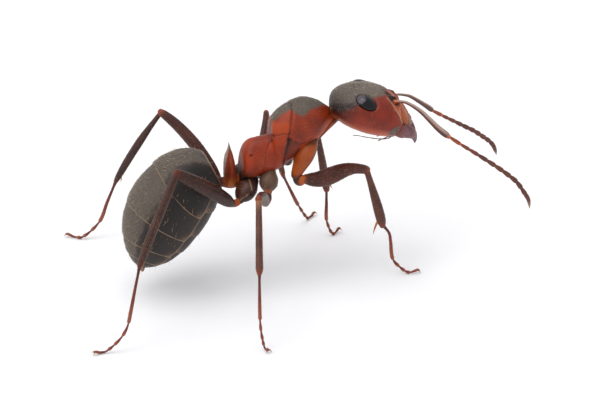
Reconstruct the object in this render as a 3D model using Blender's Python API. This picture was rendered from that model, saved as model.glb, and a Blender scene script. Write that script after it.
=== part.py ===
"""Worker of the red wood ant (Formica rufa group), standing, at life size.

The ant faces +X, its left side is +Y and it stands on z = 0.  Every size below is in
millimetres; the finished meshes are stored in metres.  Each plate of the body and each
segment of the six legs and two feelers is one closed solid.  Neighbouring plates are
parted by thin cuts, so they meet face to face without touching.
"""

import math

import bmesh
import bpy
from mathutils import Matrix, Vector

MM = 0.001

# ---------------------------------------------------------------- driving dimensions
SEAM = 0.02              # width of the thin cut between two neighbouring plates
SHAFT = 0.255            # radius of a leg's shin in mid length
FEELER = 0.24            # radius of a feeler
FEELER_END = 0.225       # radius of a feeler's whip at its elbow and at its tip
SCAPE_RADII = [0.13, 0.17, 0.215, 0.235, FEELER, FEELER, 0.225]
HIP = 0.245              # radius of a hip where it leaves the trunk
THIGH = 0.265            # radius of a thigh where it is thickest
ROOT = 0.225             # radius of the small joint between hip and thigh
JOINT = 0.235            # radius at a knee and at an ankle
TOE = 0.225              # radius at the tip of a foot
PAD = 0.19               # height of the foot's axis over its flat sole
SHIN_BOW = Vector((0.0, 0.0, 0.05))
SMOOTH_ANGLE = 40.0      # edges sharper than this stay crisp

HEAD_PLACE = (2.42, -0.19, 4.49)
HEAD_YAW = -11.0         # the head is turned a little to the ant's right
HEAD_PITCH = 16.0        # and hangs nose down
HEAD_ROLL = -5.0
HEAD_HALF_WIDTH = 0.86   # at the eyes, where it is broadest
HEAD_HALF_HEIGHT = 0.50
EYE_SIZE = (0.27, 0.19, 0.13)      # half length, half width, half depth
EYE_PLACE = (-0.10, 0.61, 0.35)    # in the head's frame
EYE_TILT = 26.0          # its long axis sinks towards the mouth

GASTER_PLACE = (-2.51, 0.0, 2.25)
GASTER_PITCH = 56.5      # the hind body hangs steeply, tip down
GASTER_LENGTH = 3.36
GASTER_CUTS = (0.28, 0.60, 0.79, 0.91)    # where its plates part, as shares of its length

# Steps along and points round each lofted body.
TRUNK_GRID = (16, 18)
THROAT_GRID = (6, 12)
HEAD_GRID = (13, 20)
CLYPEUS_GRID = (6, 12)
GASTER_GRID = (19, 18)
MANDIBLE_POINTS = 12
SCALE_POINTS = 14
EYE_GRID = (12, 8)       # segments round the ball, rings from pole to pole

# The trunk's two seams: a point on the seam's plane and the plane's normal.
SHOULDER_SEAM = ((0.60, 0.0, 4.3), (1.0, 0.0, -0.16))
WAIST_SEAM = ((0.03, 0.0, 3.9), (1.0, 0.0, -0.10))

# Mesosoma: rings from the neck back to the waist.
# back x, back z, belly x, belly z, half width, narrowing towards the back
MESOSOMA = [
    (1.70, 4.40, 1.74, 4.22, 0.13, 0.00),
    (1.52, 4.57, 1.52, 4.00, 0.34, 0.05),
    (1.27, 4.74, 1.26, 3.76, 0.53, 0.10),
    (0.95, 4.84, 0.98, 3.60, 0.61, 0.12),
    (0.64, 4.77, 0.70, 3.36, 0.60, 0.14),
    (0.32, 4.58, 0.44, 3.12, 0.53, 0.14),
    (0.12, 4.29, 0.24, 3.02, 0.46, 0.12),
    (0.03, 3.97, 0.08, 2.97, 0.41, 0.10),
    (-0.20, 3.92, -0.14, 2.93, 0.42, 0.12),
    (-0.47, 3.86, -0.40, 2.88, 0.41, 0.12),
    (-0.65, 3.60, -0.62, 2.82, 0.35, 0.08),
    (-0.69, 3.18, -0.74, 2.76, 0.22, 0.00),
    (-0.71, 3.02, -0.76, 2.80, 0.14, 0.00),
]

# Head: rings from the nape to the mouth, in the head's own frame.
# along, middle height, half height, half width
HEAD = [
    (-0.87, 0.00, 0.12, 0.26),
    (-0.81, 0.01, 0.26, 0.46),
    (-0.63, 0.02, 0.41, 0.67),
    (-0.38, 0.03, 0.51, 0.80),
    (-0.08, 0.03, 0.57, 0.86),
    (0.22, 0.02, 0.59, 0.85),
    (0.50, 0.00, 0.56, 0.79),
    (0.75, -0.05, 0.47, 0.70),
    (0.90, -0.12, 0.33, 0.60),
    (0.98, -0.15, 0.22, 0.46),
]

# Clypeus, the shield over the mouth, in the head's frame: same columns.
CLYPEUS = [
    (0.50, 0.20, 0.12, 0.14),
    (0.66, 0.20, 0.22, 0.28),
    (0.86, 0.10, 0.24, 0.38),
    (1.02, 0.00, 0.19, 0.42),
    (1.15, -0.06, 0.12, 0.38),
    (1.21, -0.07, 0.06, 0.26),
]

# Mandible, left one, in the head's frame: along, side, height, half depth, half thickness
MANDIBLE = [
    (0.80, 0.44, -0.22, 0.15, 0.10),
    (0.98, 0.44, -0.22, 0.19, 0.12),
    (1.16, 0.38, -0.22, 0.18, 0.11),
    (1.30, 0.27, -0.28, 0.15, 0.10),
    (1.40, 0.17, -0.38, 0.11, 0.07),
    (1.45, 0.09, -0.49, 0.07, 0.05),
    (1.47, 0.04, -0.58, 0.04, 0.03),
]

# Propleura, the throat between neck and front hips.
THROAT = [
    (1.82, 4.44, 1.86, 4.26, 0.09, 0.0),
    (1.71, 4.35, 1.70, 4.10, 0.16, 0.0),
    (1.53, 4.22, 1.45, 3.88, 0.28, 0.0),
    (1.36, 4.07, 1.23, 3.69, 0.29, 0.0),
    (1.26, 4.00, 1.13, 3.67, 0.22, 0.0),
]

# Gaster: share of the length, half height, half width, shift of the axis towards its back
GASTER = [
    (0.000, 0.16, 0.16, -0.04),
    (0.035, 0.44, 0.43, -0.04),
    (0.10, 0.70, 0.68, -0.03),
    (0.22, 0.91, 0.88, 0.01),
    (0.38, 1.02, 0.98, 0.03),
    (0.54, 1.02, 0.98, 0.04),
    (0.70, 0.92, 0.87, 0.01),
    (0.83, 0.72, 0.67, -0.04),
    (0.93, 0.45, 0.41, -0.09),
    (1.00, 0.11, 0.11, -0.12),
]

# Petiole: rings from the root to the scale's crest: x, z, half thickness, half width
PETIOLE_SCALE = [
    (-0.98, 2.72, 0.16, 0.20),
    (-0.97, 2.92, 0.16, 0.29),
    (-0.955, 3.16, 0.145, 0.36),
    (-0.94, 3.42, 0.115, 0.38),
    (-0.93, 3.64, 0.075, 0.29),
    (-0.925, 3.80, 0.030, 0.11),
]
PETIOLE_STALK = [(-0.68, 2.93), (-0.84, 2.78), (-0.99, 2.70), (-1.14, 2.72), (-1.30, 2.80)]
STALK_RADII = [0.13, 0.16, 0.19, 0.17, 0.13]

# Legs of the right side and of the left side.  Each leg is a chain of joints: hip,
# trochanter, thigh root, knee, ankle, then the way of the foot to the tip of its claws.
LEGS = {
    "fore_right": {
        "hip": (0.98, -0.33, 3.80), "coxa": (0.68, -0.52, 3.00), "root": (0.82, -0.62, 2.80),
        "knee": (2.49, -0.25, 2.76), "ankle": (2.85, -0.62, 1.33),
        "foot": [(3.02, -0.68, 0.95), (3.08, -0.71, 0.43), (3.40, -0.81, 0.05), (3.72, -0.86, 0.05)],
        "bow": (0.0, -0.10, 0.10),
    },
    "fore_left": {
        "hip": (0.98, 0.33, 3.80), "coxa": (0.68, 0.52, 3.00), "root": (0.78, 0.65, 2.80),
        "knee": (1.86, 1.91, 2.82), "ankle": (2.02, 1.74, 1.28),
        "foot": [(2.02, 1.75, 0.90), (2.06, 1.73, 0.42), (2.30, 1.62, 0.05), (2.58, 1.52, 0.05)],
        "bow": (0.05, 0.0, 0.12),
    },
    "mid_right": {
        "hip": (-0.02, -0.26, 3.20), "coxa": (-0.12, -0.50, 2.66), "root": (-0.18, -0.68, 2.56),
        "knee": (-0.71, -2.18, 3.35), "ankle": (-1.07, -3.34, 2.02),
        "foot": [(-1.05, -3.40, 1.40), (-1.03, -3.46, 0.69), (-0.98, -3.60, 0.05), (-0.94, -3.84, 0.05)],
        "bow": (0.0, 0.0, 0.10),
    },
    "mid_left": {
        "hip": (-0.02, 0.26, 3.20), "coxa": (-0.12, 0.50, 2.66), "root": (-0.10, 0.70, 2.58),
        "knee": (0.54, 2.11, 3.45), "ankle": (0.94, 1.99, 1.70),
        "foot": [(1.18, 2.16, 1.15), (1.43, 2.34, 0.60), (1.75, 2.58, 0.05), (1.98, 2.78, 0.05)],
        "bow": (0.0, 0.0, 0.10),
    },
    "hind_right": {
        "hip": (-0.54, -0.29, 3.14), "coxa": (-0.84, -0.54, 2.60), "root": (-1.02, -0.71, 2.56),
        "knee": (-2.66, -1.56, 3.90), "ankle": (-3.82, -2.90, 2.16),
        "foot": [(-4.02, -2.86, 1.40), (-4.22, -2.82, 0.64), (-4.70, -2.80, 0.05), (-5.10, -2.80, 0.05)],
        "bow": (0.0, -0.16, 0.10),
    },
    "hind_left": {
        "hip": (-0.54, 0.29, 3.14), "coxa": (-0.84, 0.54, 2.55), "root": (-1.02, 0.71, 2.50),
        "knee": (-2.17, 2.08, 3.85), "ankle": (-3.16, 2.81, 1.67),
        "foot": [(-3.40, 2.92, 1.08), (-3.62, 3.04, 0.50), (-4.02, 3.24, 0.05), (-4.36, 3.42, 0.05)],
        "bow": (0.0, 0.10, 0.12),
    },
}

# Feelers: socket on the face, elbow, tip, and how far each length arches upwards.
FEELERS = {
    "right": {"socket": (3.10, -0.53, 4.72), "elbow": (4.37, -1.10, 3.92), "tip": (6.50, -1.10, 1.62),
              "arch": (0.20, 0.22)},
    "left": {"socket": (3.20, -0.08, 4.69), "elbow": (4.39, 0.80, 3.68), "tip": (6.43, 1.60, 1.73),
             "arch": (0.16, 0.18)},
}
WHIP_STEPS = 14          # even: the whip is parted into its two lengths half way

# The rounded end of a tube: how far each ring stands out and how wide it is, in radii.
DOME = ((0.92, 0.38), (0.62, 0.80))

# ---------------------------------------------------------------- finishes
CUTICLE = {
    "red": ((0.29, 0.055, 0.022), 0.38),
    "dusky": ((0.075, 0.060, 0.050), 0.55),
    "leg": ((0.085, 0.032, 0.024), 0.40),
    "hip": ((0.36, 0.105, 0.028), 0.38),
    "feeler": ((0.16, 0.055, 0.040), 0.45),
    "eye": ((0.012, 0.012, 0.015), 0.18),
}


# ---------------------------------------------------------------- tools
def clear_scene():
    for thing in list(bpy.data.objects):
        bpy.data.objects.remove(thing, do_unlink=True)


def new_collection(name):
    group = bpy.data.collections.new(name)
    bpy.context.scene.collection.children.link(group)
    return group


def cuticle(name, finish):
    """A material of its own for one node, in one of the ant's few finishes."""
    colour, roughness = CUTICLE[finish]
    made = bpy.data.materials.new(name + "_cuticle")
    made.use_nodes = True
    shader = made.node_tree.nodes["Principled BSDF"]
    shader.inputs["Base Color"].default_value = (*colour, 1.0)
    shader.inputs["Roughness"].default_value = roughness
    shader.inputs["Metallic"].default_value = 0.0
    made.diffuse_color = (*colour, 1.0)
    return made


def between(rows, share):
    """A smooth (Catmull-Rom) reading of a table of rings; share runs from 0 to 1."""
    last = len(rows) - 1
    place = min(max(share, 0.0), 1.0) * last
    i = min(int(place), last - 1)
    f = place - i
    four = rows[max(i - 1, 0)], rows[i], rows[i + 1], rows[min(i + 2, last)]
    return [
        0.5 * (2 * q + (r - p) * f + (2 * p - 5 * q + 4 * r - s) * f ** 2 + (3 * q - p - 3 * r + s) * f ** 3)
        for p, q, r, s in zip(*four)
    ]


def ring(centre, up, side, height, width, points, narrowing=0.0):
    """Points of one oval ring; narrowing pulls its upper half in."""
    made = []
    for k in range(points):
        turn = math.tau * k / points
        across = width * math.cos(turn) * (1.0 - narrowing * math.sin(turn))
        made.append(centre + side * across + up * height * math.sin(turn))
    return made


def loft(rings):
    """A closed skin over a row of rings, with a fan of triangles on each end."""
    bm = bmesh.new()
    rows = [[bm.verts.new(point) for point in one] for one in rings]
    count = len(rows[0])
    for one, two in zip(rows, rows[1:]):
        for k in range(count):
            nxt = (k + 1) % count
            bm.faces.new((one[k], one[nxt], two[nxt], two[k]))
    for row in (rows[0], rows[-1]):
        middle = bm.verts.new(sum((v.co for v in row), Vector()) / count)
        for k in range(count):
            bm.faces.new((row[k], row[(k + 1) % count], middle))
    bmesh.ops.recalc_face_normals(bm, faces=bm.faces)
    return bm


def trim(bm, point, away):
    """Cut bm by a plane, drop the side that away points to, and close the cut."""
    geometry = bm.verts[:] + bm.edges[:] + bm.faces[:]
    bmesh.ops.bisect_plane(
        bm, geom=geometry, dist=1e-6, plane_co=point, plane_no=away, clear_outer=True
    )
    rim = [edge for edge in bm.edges if edge.is_boundary]
    bmesh.ops.holes_fill(bm, edges=rim, sides=0)
    bmesh.ops.recalc_face_normals(bm, faces=bm.faces)


def swell(bm, amount):
    """Move every point of bm outwards, for a cutter that leaves a seam."""
    bm.normal_update()
    moved = [vert.co + vert.normal * amount for vert in bm.verts]
    for vert, place in zip(bm.verts, moved):
        vert.co = place


def finish(bm, name, group, look=None):
    """Store bm, which is in millimetres, as a named object in metres."""
    bmesh.ops.scale(bm, vec=(MM, MM, MM), verts=bm.verts)
    mesh = bpy.data.meshes.new(name)
    bm.to_mesh(mesh)
    bm.free()
    made = bpy.data.objects.new(name, mesh)
    group.objects.link(made)
    mesh.shade_smooth()
    mesh.set_sharp_from_angle(angle=math.radians(SMOOTH_ANGLE))
    if look:
        mesh.materials.append(cuticle(name, look))
    return made


def cutter(bm, name):
    """An object that only cuts: it is neither drawn solid nor built."""
    made = finish(bm, name, CUTTERS)
    made.display_type = "WIRE"
    made.hide_render = True
    return made


def carve(target, tool):
    cut = target.modifiers.new("clear_of_" + tool.name, "BOOLEAN")
    cut.operation = "DIFFERENCE"
    cut.solver = "EXACT"
    cut.object = tool


def head_frame():
    turn = Matrix.Rotation(math.radians(HEAD_YAW), 4, "Z")
    turn = turn @ Matrix.Rotation(math.radians(HEAD_PITCH), 4, "Y")
    turn = turn @ Matrix.Rotation(math.radians(HEAD_ROLL), 4, "X")
    return Matrix.Translation(HEAD_PLACE) @ turn


# ---------------------------------------------------------------- body plates
def mesosoma_rings(rows, steps, points):
    made = []
    for step in range(steps + 1):
        back_x, back_z, belly_x, belly_z, width, narrowing = between(rows, step / steps)
        back, belly = Vector((back_x, 0.0, back_z)), Vector((belly_x, 0.0, belly_z))
        up = (back - belly) / 2
        made.append(ring((back + belly) / 2, up.normalized(), Vector((0, 1, 0)), up.length, width,
                         points, narrowing))
    return made


def mesosoma():
    return loft(mesosoma_rings(MESOSOMA, *TRUNK_GRID))


def build_mesosoma():
    """The trunk is modelled whole and parted into its three plates."""
    (front_at, front_way), (waist_at, waist_way) = (
        (Vector(place), Vector(normal).normalized()) for place, normal in (SHOULDER_SEAM, WAIST_SEAM)
    )
    half = SEAM / 2

    pronotum = mesosoma()
    trim(pronotum, front_at + front_way * half, -front_way)

    mesothorax = mesosoma()
    trim(mesothorax, front_at - front_way * half, front_way)
    trim(mesothorax, waist_at + waist_way * half, -waist_way)

    propodeum = mesosoma()
    trim(propodeum, waist_at - waist_way * half, waist_way)

    throat = loft(mesosoma_rings(THROAT, *THROAT_GRID))
    made = {
        "pronotum": finish(pronotum, "pronotum", ANT, "red"),
        "mesothorax": finish(mesothorax, "mesothorax", ANT, "red"),
        "propodeum": finish(propodeum, "propodeum", ANT, "red"),
        "propleura": finish(throat, "propleura", ANT, "hip"),
    }
    trunk = mesosoma()
    swell(trunk, SEAM)
    trunk_tool = cutter(trunk, "trunk_tool")
    carve(made["propleura"], trunk_tool)
    return trunk_tool


def head_rings(rows, steps, points):
    made = []
    for step in range(steps + 1):
        along, middle, height, width = between(rows, step / steps)
        made.append(ring(Vector((along, 0.0, middle)), Vector((0, 0, 1)), Vector((0, 1, 0)),
                         height, width, points))
    return made


def head_capsule():
    bm = loft(head_rings(HEAD, *HEAD_GRID))
    bmesh.ops.transform(bm, matrix=head_frame(), verts=bm.verts)
    return bm


def eye(side, extra=0.0):
    """An oval ball that sits two thirds deep in the side of the head."""
    bm = bmesh.new()
    bmesh.ops.create_uvsphere(bm, u_segments=EYE_GRID[0], v_segments=EYE_GRID[1], radius=1.0)
    size = [half + extra for half in EYE_SIZE]
    along, out, height = EYE_PLACE
    outward = Vector((0.0, side * out / HEAD_HALF_WIDTH ** 2, height / HEAD_HALF_HEIGHT ** 2)).normalized()
    forward = Vector((1.0, 0.0, 0.0))
    across = outward.cross(forward)
    tilt = Matrix.Rotation(math.radians(EYE_TILT) * side, 3, outward)
    axes = Matrix((tilt @ forward, tilt @ across, outward)).transposed().to_4x4()
    place = Matrix.Translation((along, side * out, height)) @ axes @ Matrix.Diagonal((*size, 1.0))
    bmesh.ops.transform(bm, matrix=head_frame() @ place, verts=bm.verts)
    return bm


def clypeus():
    bm = loft(head_rings(CLYPEUS, *CLYPEUS_GRID))
    bmesh.ops.transform(bm, matrix=head_frame(), verts=bm.verts)
    return bm


def mandible(side):
    """A bent, flattened jaw that meets its twin on the middle plane."""
    rings = []
    path = [Vector((row[0], side * row[1], row[2])) for row in MANDIBLE]
    for i, row in enumerate(MANDIBLE):
        before, after = path[max(i - 1, 0)], path[min(i + 1, len(path) - 1)]
        along = (after - before).normalized()
        flat = along.cross(Vector((0, 0, 1))).normalized()
        deep = flat.cross(along).normalized()
        rings.append(ring(path[i], deep, flat, row[3], row[4], MANDIBLE_POINTS))
    bm = loft(rings)
    trim(bm, Vector((0.0, side * SEAM / 2, 0.0)), Vector((0.0, -side, 0.0)))
    bmesh.ops.transform(bm, matrix=head_frame(), verts=bm.verts)
    return bm


def build_head():
    head = finish(head_capsule(), "head", ANT, "red")
    swollen = head_capsule()
    swell(swollen, SEAM)
    head_tool = cutter(swollen, "head_tool")
    shield = clypeus()
    swell(shield, SEAM)
    shield_tool = cutter(shield, "clypeus_tool")

    carve(finish(clypeus(), "clypeus", ANT, "hip"), head_tool)
    for side, word in ((1, "left"), (-1, "right")):
        carve(head, cutter(eye(side, SEAM), "eye_socket_" + word))
        finish(eye(side), "eye_" + word, ANT, "eye")
        jaw = finish(mandible(side), "mandible_" + word, ANT, "leg")
        carve(jaw, head_tool)
        carve(jaw, shield_tool)
    for neighbour in ("propleura", "pronotum"):
        carve(bpy.data.objects[neighbour], head_tool)
    return head_tool


def gaster_frame():
    """Local +X runs from the waist to the tip; local +Z points to the gaster's belly."""
    pitch = math.radians(180.0 - GASTER_PITCH)
    return Matrix.Translation(GASTER_PLACE) @ Matrix.Rotation(pitch, 4, "Y")


def gaster_rings(steps, points):
    made = []
    for step in range(steps + 1):
        share, height, width, bend = between(GASTER, step / steps)
        centre = Vector(((share - 0.5) * GASTER_LENGTH, 0.0, -bend))
        made.append(ring(centre, Vector((0, 0, 1)), Vector((0, 1, 0)), height, width, points))
    return made


def build_gaster():
    """The hind body, parted across its axis into its five visible segments."""
    edges = (None, *GASTER_CUTS, None)
    for number, (front, rear) in enumerate(zip(edges, edges[1:]), start=1):
        bm = loft(gaster_rings(*GASTER_GRID))
        for edge, sense in ((front, -1.0), (rear, 1.0)):
            if edge is None:
                continue
            place = (edge - 0.5) * GASTER_LENGTH - sense * SEAM / 2
            trim(bm, Vector((place, 0.0, 0.0)), Vector((sense, 0.0, 0.0)))
        bmesh.ops.transform(bm, matrix=gaster_frame(), verts=bm.verts)
        finish(bm, f"gaster_{number}", ANT, "dusky")


def build_petiole(trunk_tool):
    """The waist: a short stalk that carries one upright scale."""
    scale = []
    for x, z, thick, width in PETIOLE_SCALE:
        scale.append(ring(Vector((x, 0.0, z)), Vector((1, 0, 0)), Vector((0, 1, 0)), thick, width,
                          SCALE_POINTS))
    crest = loft(scale)
    stalk = limb_mesh([Vector((x, 0.0, z)) for x, z in PETIOLE_STALK], STALK_RADII)
    node = finish(stalk, "petiole", ANT, "red")
    tool = cutter(crest, "scale_of_petiole")
    union = node.modifiers.new("scale", "BOOLEAN")
    union.operation = "UNION"
    union.solver = "EXACT"
    union.object = tool
    carve(node, trunk_tool)
    front = loft(gaster_rings(*GASTER_GRID))
    swell(front, SEAM)
    bmesh.ops.transform(front, matrix=gaster_frame(), verts=front.verts)
    carve(node, cutter(front, "gaster_tool"))


# ---------------------------------------------------------------- legs and feelers
def limb_mesh(path, radii):
    """A tube of changing thickness along path, as a closed mesh."""
    data = bpy.data.curves.new("limb", "CURVE")
    data.dimensions = "3D"
    data.bevel_depth = 1.0
    data.bevel_resolution = 2
    data.use_fill_caps = True
    spline = data.splines.new("POLY")
    spline.points.add(len(path) - 1)
    for point, place, radius in zip(spline.points, path, radii):
        point.co = (*place, 1.0)
        point.radius = radius
    carrier = bpy.data.objects.new("limb", data)
    bpy.context.scene.collection.objects.link(carrier)
    evaluated = carrier.evaluated_get(bpy.context.evaluated_depsgraph_get())
    mesh = bpy.data.meshes.new_from_object(evaluated)
    bm = bmesh.new()
    bm.from_mesh(mesh)
    bmesh.ops.remove_doubles(bm, verts=bm.verts, dist=0.0001)
    bmesh.ops.recalc_face_normals(bm, faces=bm.faces)
    bpy.data.objects.remove(carrier, do_unlink=True)
    bpy.data.curves.remove(data)
    bpy.data.meshes.remove(mesh)
    return bm


def arched(start, end, bow, steps):
    """Points from start to end along a shallow parabola that bow pulls out."""
    made = []
    for step in range(steps + 1):
        share = step / steps
        made.append(start.lerp(end, share) + bow * 4.0 * share * (1.0 - share))
    return made


def smooth_path(corners, steps):
    """Points along a smooth curve through corners."""
    rows = [tuple(corner) for corner in corners]
    return [Vector(between(rows, step / steps)) for step in range(steps + 1)]


def rounded(path, radii):
    """Lengthen a path by a rounded end at either joint."""
    out = []
    for tip, inner, radius in ((path[0], path[1], radii[0]), (path[-1], path[-2], radii[-1])):
        away = (tip - inner).normalized() * radius
        out.append(([tip + away * reach for reach, _ in DOME], [radius * share for _, share in DOME]))
    (head, head_r), (tail, tail_r) = out
    return head + path + tail[::-1], head_r + radii + tail_r[::-1]


def miter(before, joint, after):
    """Unit normal of the plane that halves the bend at a joint."""
    return ((joint - before).normalized() + (after - joint).normalized()).normalized()


def swelling(steps, start, middle, end, peak):
    """Radii that rise smoothly from start to middle and fall again to end."""
    made = []
    for step in range(steps + 1):
        share = step / steps
        if share < peak:
            blend = math.sin(share / peak * math.pi / 2)
            made.append(start + (middle - start) * blend)
        else:
            blend = math.cos((share - peak) / (1.0 - peak) * math.pi / 2)
            made.append(end + (middle - end) * blend)
    return made


def leg_pieces(leg):
    """Path and radii of each length of a leg, from the hip to the claws."""
    hip, coxa, root, knee, ankle = (Vector(leg[key]) for key in ("hip", "coxa", "root", "knee", "ankle"))
    foot = [Vector((x, y, max(z, PAD))) for x, y, z in leg["foot"]]
    bow = Vector(leg["bow"])
    return [
        ("coxa", arched(hip, coxa, Vector(), 4), swelling(4, HIP, THIGH, ROOT, 0.4)),
        ("trochanter", arched(coxa, root, Vector(), 2), [ROOT] * 3),
        ("femur", arched(root, knee, bow, 7), swelling(7, ROOT, THIGH, JOINT, 0.4)),
        ("tibia", arched(knee, ankle, SHIN_BOW, 6), swelling(6, JOINT, SHAFT, JOINT, 0.6)),
        ("tarsus", smooth_path([ankle, *foot], 10), swelling(10, JOINT, JOINT, TOE, 0.5)),
    ]


def build_leg(name, leg, trunk_tool):
    pieces = leg_pieces(leg)
    for i, (part, path, radii) in enumerate(pieces):
        long_path, long_radii = rounded(path, radii)
        bm = limb_mesh(long_path, long_radii)
        if i > 0:
            plane = miter(pieces[i - 1][1][-2], path[0], path[1])
            trim(bm, path[0] + plane * SEAM / 2, -plane)
        if i < len(pieces) - 1:
            plane = miter(path[-2], path[-1], pieces[i + 1][1][1])
            trim(bm, path[-1] - plane * SEAM / 2, plane)
        if part == "tarsus":
            trim(bm, Vector(), Vector((0.0, 0.0, -1.0)))
        look = "hip" if part == "coxa" and name.startswith("fore") else "leg"
        made = finish(bm, f"{part}_{name}", ANT, look)
        if part == "coxa":
            carve(made, trunk_tool)


def build_feeler(side, feeler, head_tool):
    socket, elbow, tip = (Vector(feeler[key]) for key in ("socket", "elbow", "tip"))
    rise = [Vector((0.0, 0.0, height)) for height in feeler["arch"]]
    scape = arched(socket, elbow, rise[0], len(SCAPE_RADII) - 1)
    whip = arched(elbow, tip, rise[1], WHIP_STEPS)
    cut = WHIP_STEPS // 2
    pieces = [
        ("scape", scape, SCAPE_RADII),
        ("flagellum_lower", whip[:cut + 1], [FEELER_END] + [FEELER] * cut),
        ("flagellum_upper", whip[cut:], [FEELER] * cut + [FEELER_END]),
    ]
    for i, (part, path, radii) in enumerate(pieces):
        long_path, long_radii = rounded(path, radii)
        bm = limb_mesh(long_path, long_radii)
        if i > 0:
            plane = miter(pieces[i - 1][1][-2], path[0], path[1])
            trim(bm, path[0] + plane * SEAM / 2, -plane)
        if i < len(pieces) - 1:
            plane = miter(path[-2], path[-1], pieces[i + 1][1][1])
            trim(bm, path[-1] - plane * SEAM / 2, plane)
        made = finish(bm, f"{part}_{side}", ANT, "feeler")
        if part == "scape":
            carve(made, head_tool)


def centre_on_origin():
    """Move every mesh so that the origin lies under the middle of the ant."""
    places = [vert.co for thing in ANT.objects for vert in thing.data.vertices]
    middle = [(min(co[i] for co in places) + max(co[i] for co in places)) / 2 for i in (0, 1)]
    for thing in (*ANT.objects, *CUTTERS.objects):
        thing.data.transform(Matrix.Translation((-middle[0], -middle[1], 0.0)))
    print("moved by", [round(-value / MM, 4) for value in middle], "mm")


clear_scene()
ANT = new_collection("red_wood_ant")
CUTTERS = new_collection("cutters")
TRUNK = build_mesosoma()
HEAD_CUT = build_head()
build_petiole(TRUNK)
build_gaster()
for leg_name, leg_sizes in LEGS.items():
    build_leg(leg_name, leg_sizes, TRUNK)
for feeler_side, feeler_sizes in FEELERS.items():
    build_feeler(feeler_side, feeler_sizes, HEAD_CUT)
centre_on_origin()
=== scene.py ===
# %% [markdown]
# # A red wood ant, plate by plate
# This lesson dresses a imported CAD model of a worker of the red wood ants.  An insect is an
# armour of hard plates, so nearly every piece here is a lofted plate: a row of rings, joined
# by faces, and then pushed in and out along its normals where grooves, ridges and pits are.
# Lengths are in millimetres, because the whole animal is only 12 mm across its stance.

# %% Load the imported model
import math

import bmesh
import bpy
import numpy as np
from mathutils import Matrix, Vector


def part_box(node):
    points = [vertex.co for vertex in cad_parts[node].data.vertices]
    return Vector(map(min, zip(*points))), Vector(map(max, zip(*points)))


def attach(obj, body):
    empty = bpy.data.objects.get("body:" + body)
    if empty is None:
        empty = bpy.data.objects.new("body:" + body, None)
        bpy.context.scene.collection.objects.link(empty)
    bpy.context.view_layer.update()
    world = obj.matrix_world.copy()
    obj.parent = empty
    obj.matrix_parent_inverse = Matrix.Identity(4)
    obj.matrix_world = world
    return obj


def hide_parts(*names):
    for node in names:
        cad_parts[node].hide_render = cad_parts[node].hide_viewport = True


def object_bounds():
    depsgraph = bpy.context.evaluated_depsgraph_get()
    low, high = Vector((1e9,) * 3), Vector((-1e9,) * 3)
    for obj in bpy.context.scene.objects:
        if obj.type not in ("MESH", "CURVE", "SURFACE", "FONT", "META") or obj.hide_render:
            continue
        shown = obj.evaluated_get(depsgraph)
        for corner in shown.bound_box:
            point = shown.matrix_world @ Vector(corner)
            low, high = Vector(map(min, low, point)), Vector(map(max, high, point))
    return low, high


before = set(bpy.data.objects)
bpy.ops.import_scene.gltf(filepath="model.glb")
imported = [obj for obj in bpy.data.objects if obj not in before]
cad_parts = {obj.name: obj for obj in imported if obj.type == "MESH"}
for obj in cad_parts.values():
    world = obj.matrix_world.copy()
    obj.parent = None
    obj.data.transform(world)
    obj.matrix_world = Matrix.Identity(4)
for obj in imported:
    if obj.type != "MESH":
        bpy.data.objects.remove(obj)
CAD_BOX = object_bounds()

box_in_mm = [[round(value * 1000, 2) for value in corner] for corner in CAD_BOX]
print(len(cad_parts), "CAD nodes, box in mm:", box_in_mm)

# %% [markdown]
# ## The body plan
# The body plan of the CAD source, with some rows changed for this finer model.  A table of
# the trunk, the head or the hind body is a row of rings, and a smooth curve through them
# gives as many rings as a piece needs.

# %% Tables of the trunk, the head and the hind body
# Trunk, neck to waist: back x, back z, belly x, belly z, half width, narrowing of the back
TRUNK = [
    (1.70, 4.40, 1.74, 4.22, 0.13, 0.00), (1.52, 4.57, 1.52, 4.00, 0.34, 0.05),
    (1.27, 4.74, 1.26, 3.76, 0.53, 0.10), (0.95, 4.84, 0.98, 3.60, 0.61, 0.12),
    (0.64, 4.78, 0.70, 3.36, 0.60, 0.14), (0.30, 4.60, 0.44, 3.12, 0.53, 0.14),
    (0.09, 4.31, 0.24, 3.02, 0.46, 0.12), (0.03, 3.97, 0.08, 2.97, 0.41, 0.10),
    (-0.20, 3.92, -0.14, 2.93, 0.42, 0.12), (-0.47, 3.86, -0.40, 2.88, 0.41, 0.12),
    (-0.62, 3.63, -0.62, 2.82, 0.35, 0.08), (-0.65, 3.18, -0.74, 2.76, 0.22, 0.00),
    (-0.69, 3.02, -0.76, 2.80, 0.14, 0.00),
]
THROAT = [
    (1.84, 4.44, 1.89, 4.20, 0.10, 0.0), (1.72, 4.36, 1.73, 4.06, 0.17, 0.0),
    (1.53, 4.22, 1.45, 3.88, 0.28, 0.0), (1.36, 4.07, 1.23, 3.69, 0.29, 0.0),
    (1.26, 4.00, 1.13, 3.67, 0.22, 0.0),
]
# Head and clypeus, nape to mouth, in the head's own frame: along, middle, half height, half width
HEAD = [
    (-0.86, 0.00, 0.12, 0.26), (-0.80, 0.00, 0.26, 0.46), (-0.62, 0.01, 0.40, 0.67),
    (-0.38, 0.02, 0.50, 0.80), (-0.08, 0.03, 0.57, 0.86), (0.22, 0.02, 0.59, 0.85),
    (0.50, 0.00, 0.56, 0.79), (0.75, -0.05, 0.47, 0.70), (0.90, -0.12, 0.33, 0.60),
    (0.98, -0.15, 0.22, 0.46),
]
CLYPEUS = [
    (0.50, 0.20, 0.12, 0.14), (0.66, 0.20, 0.22, 0.28), (0.86, 0.10, 0.24, 0.38),
    (1.02, 0.00, 0.19, 0.42), (1.15, -0.06, 0.12, 0.38), (1.21, -0.07, 0.06, 0.26),
]
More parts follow.
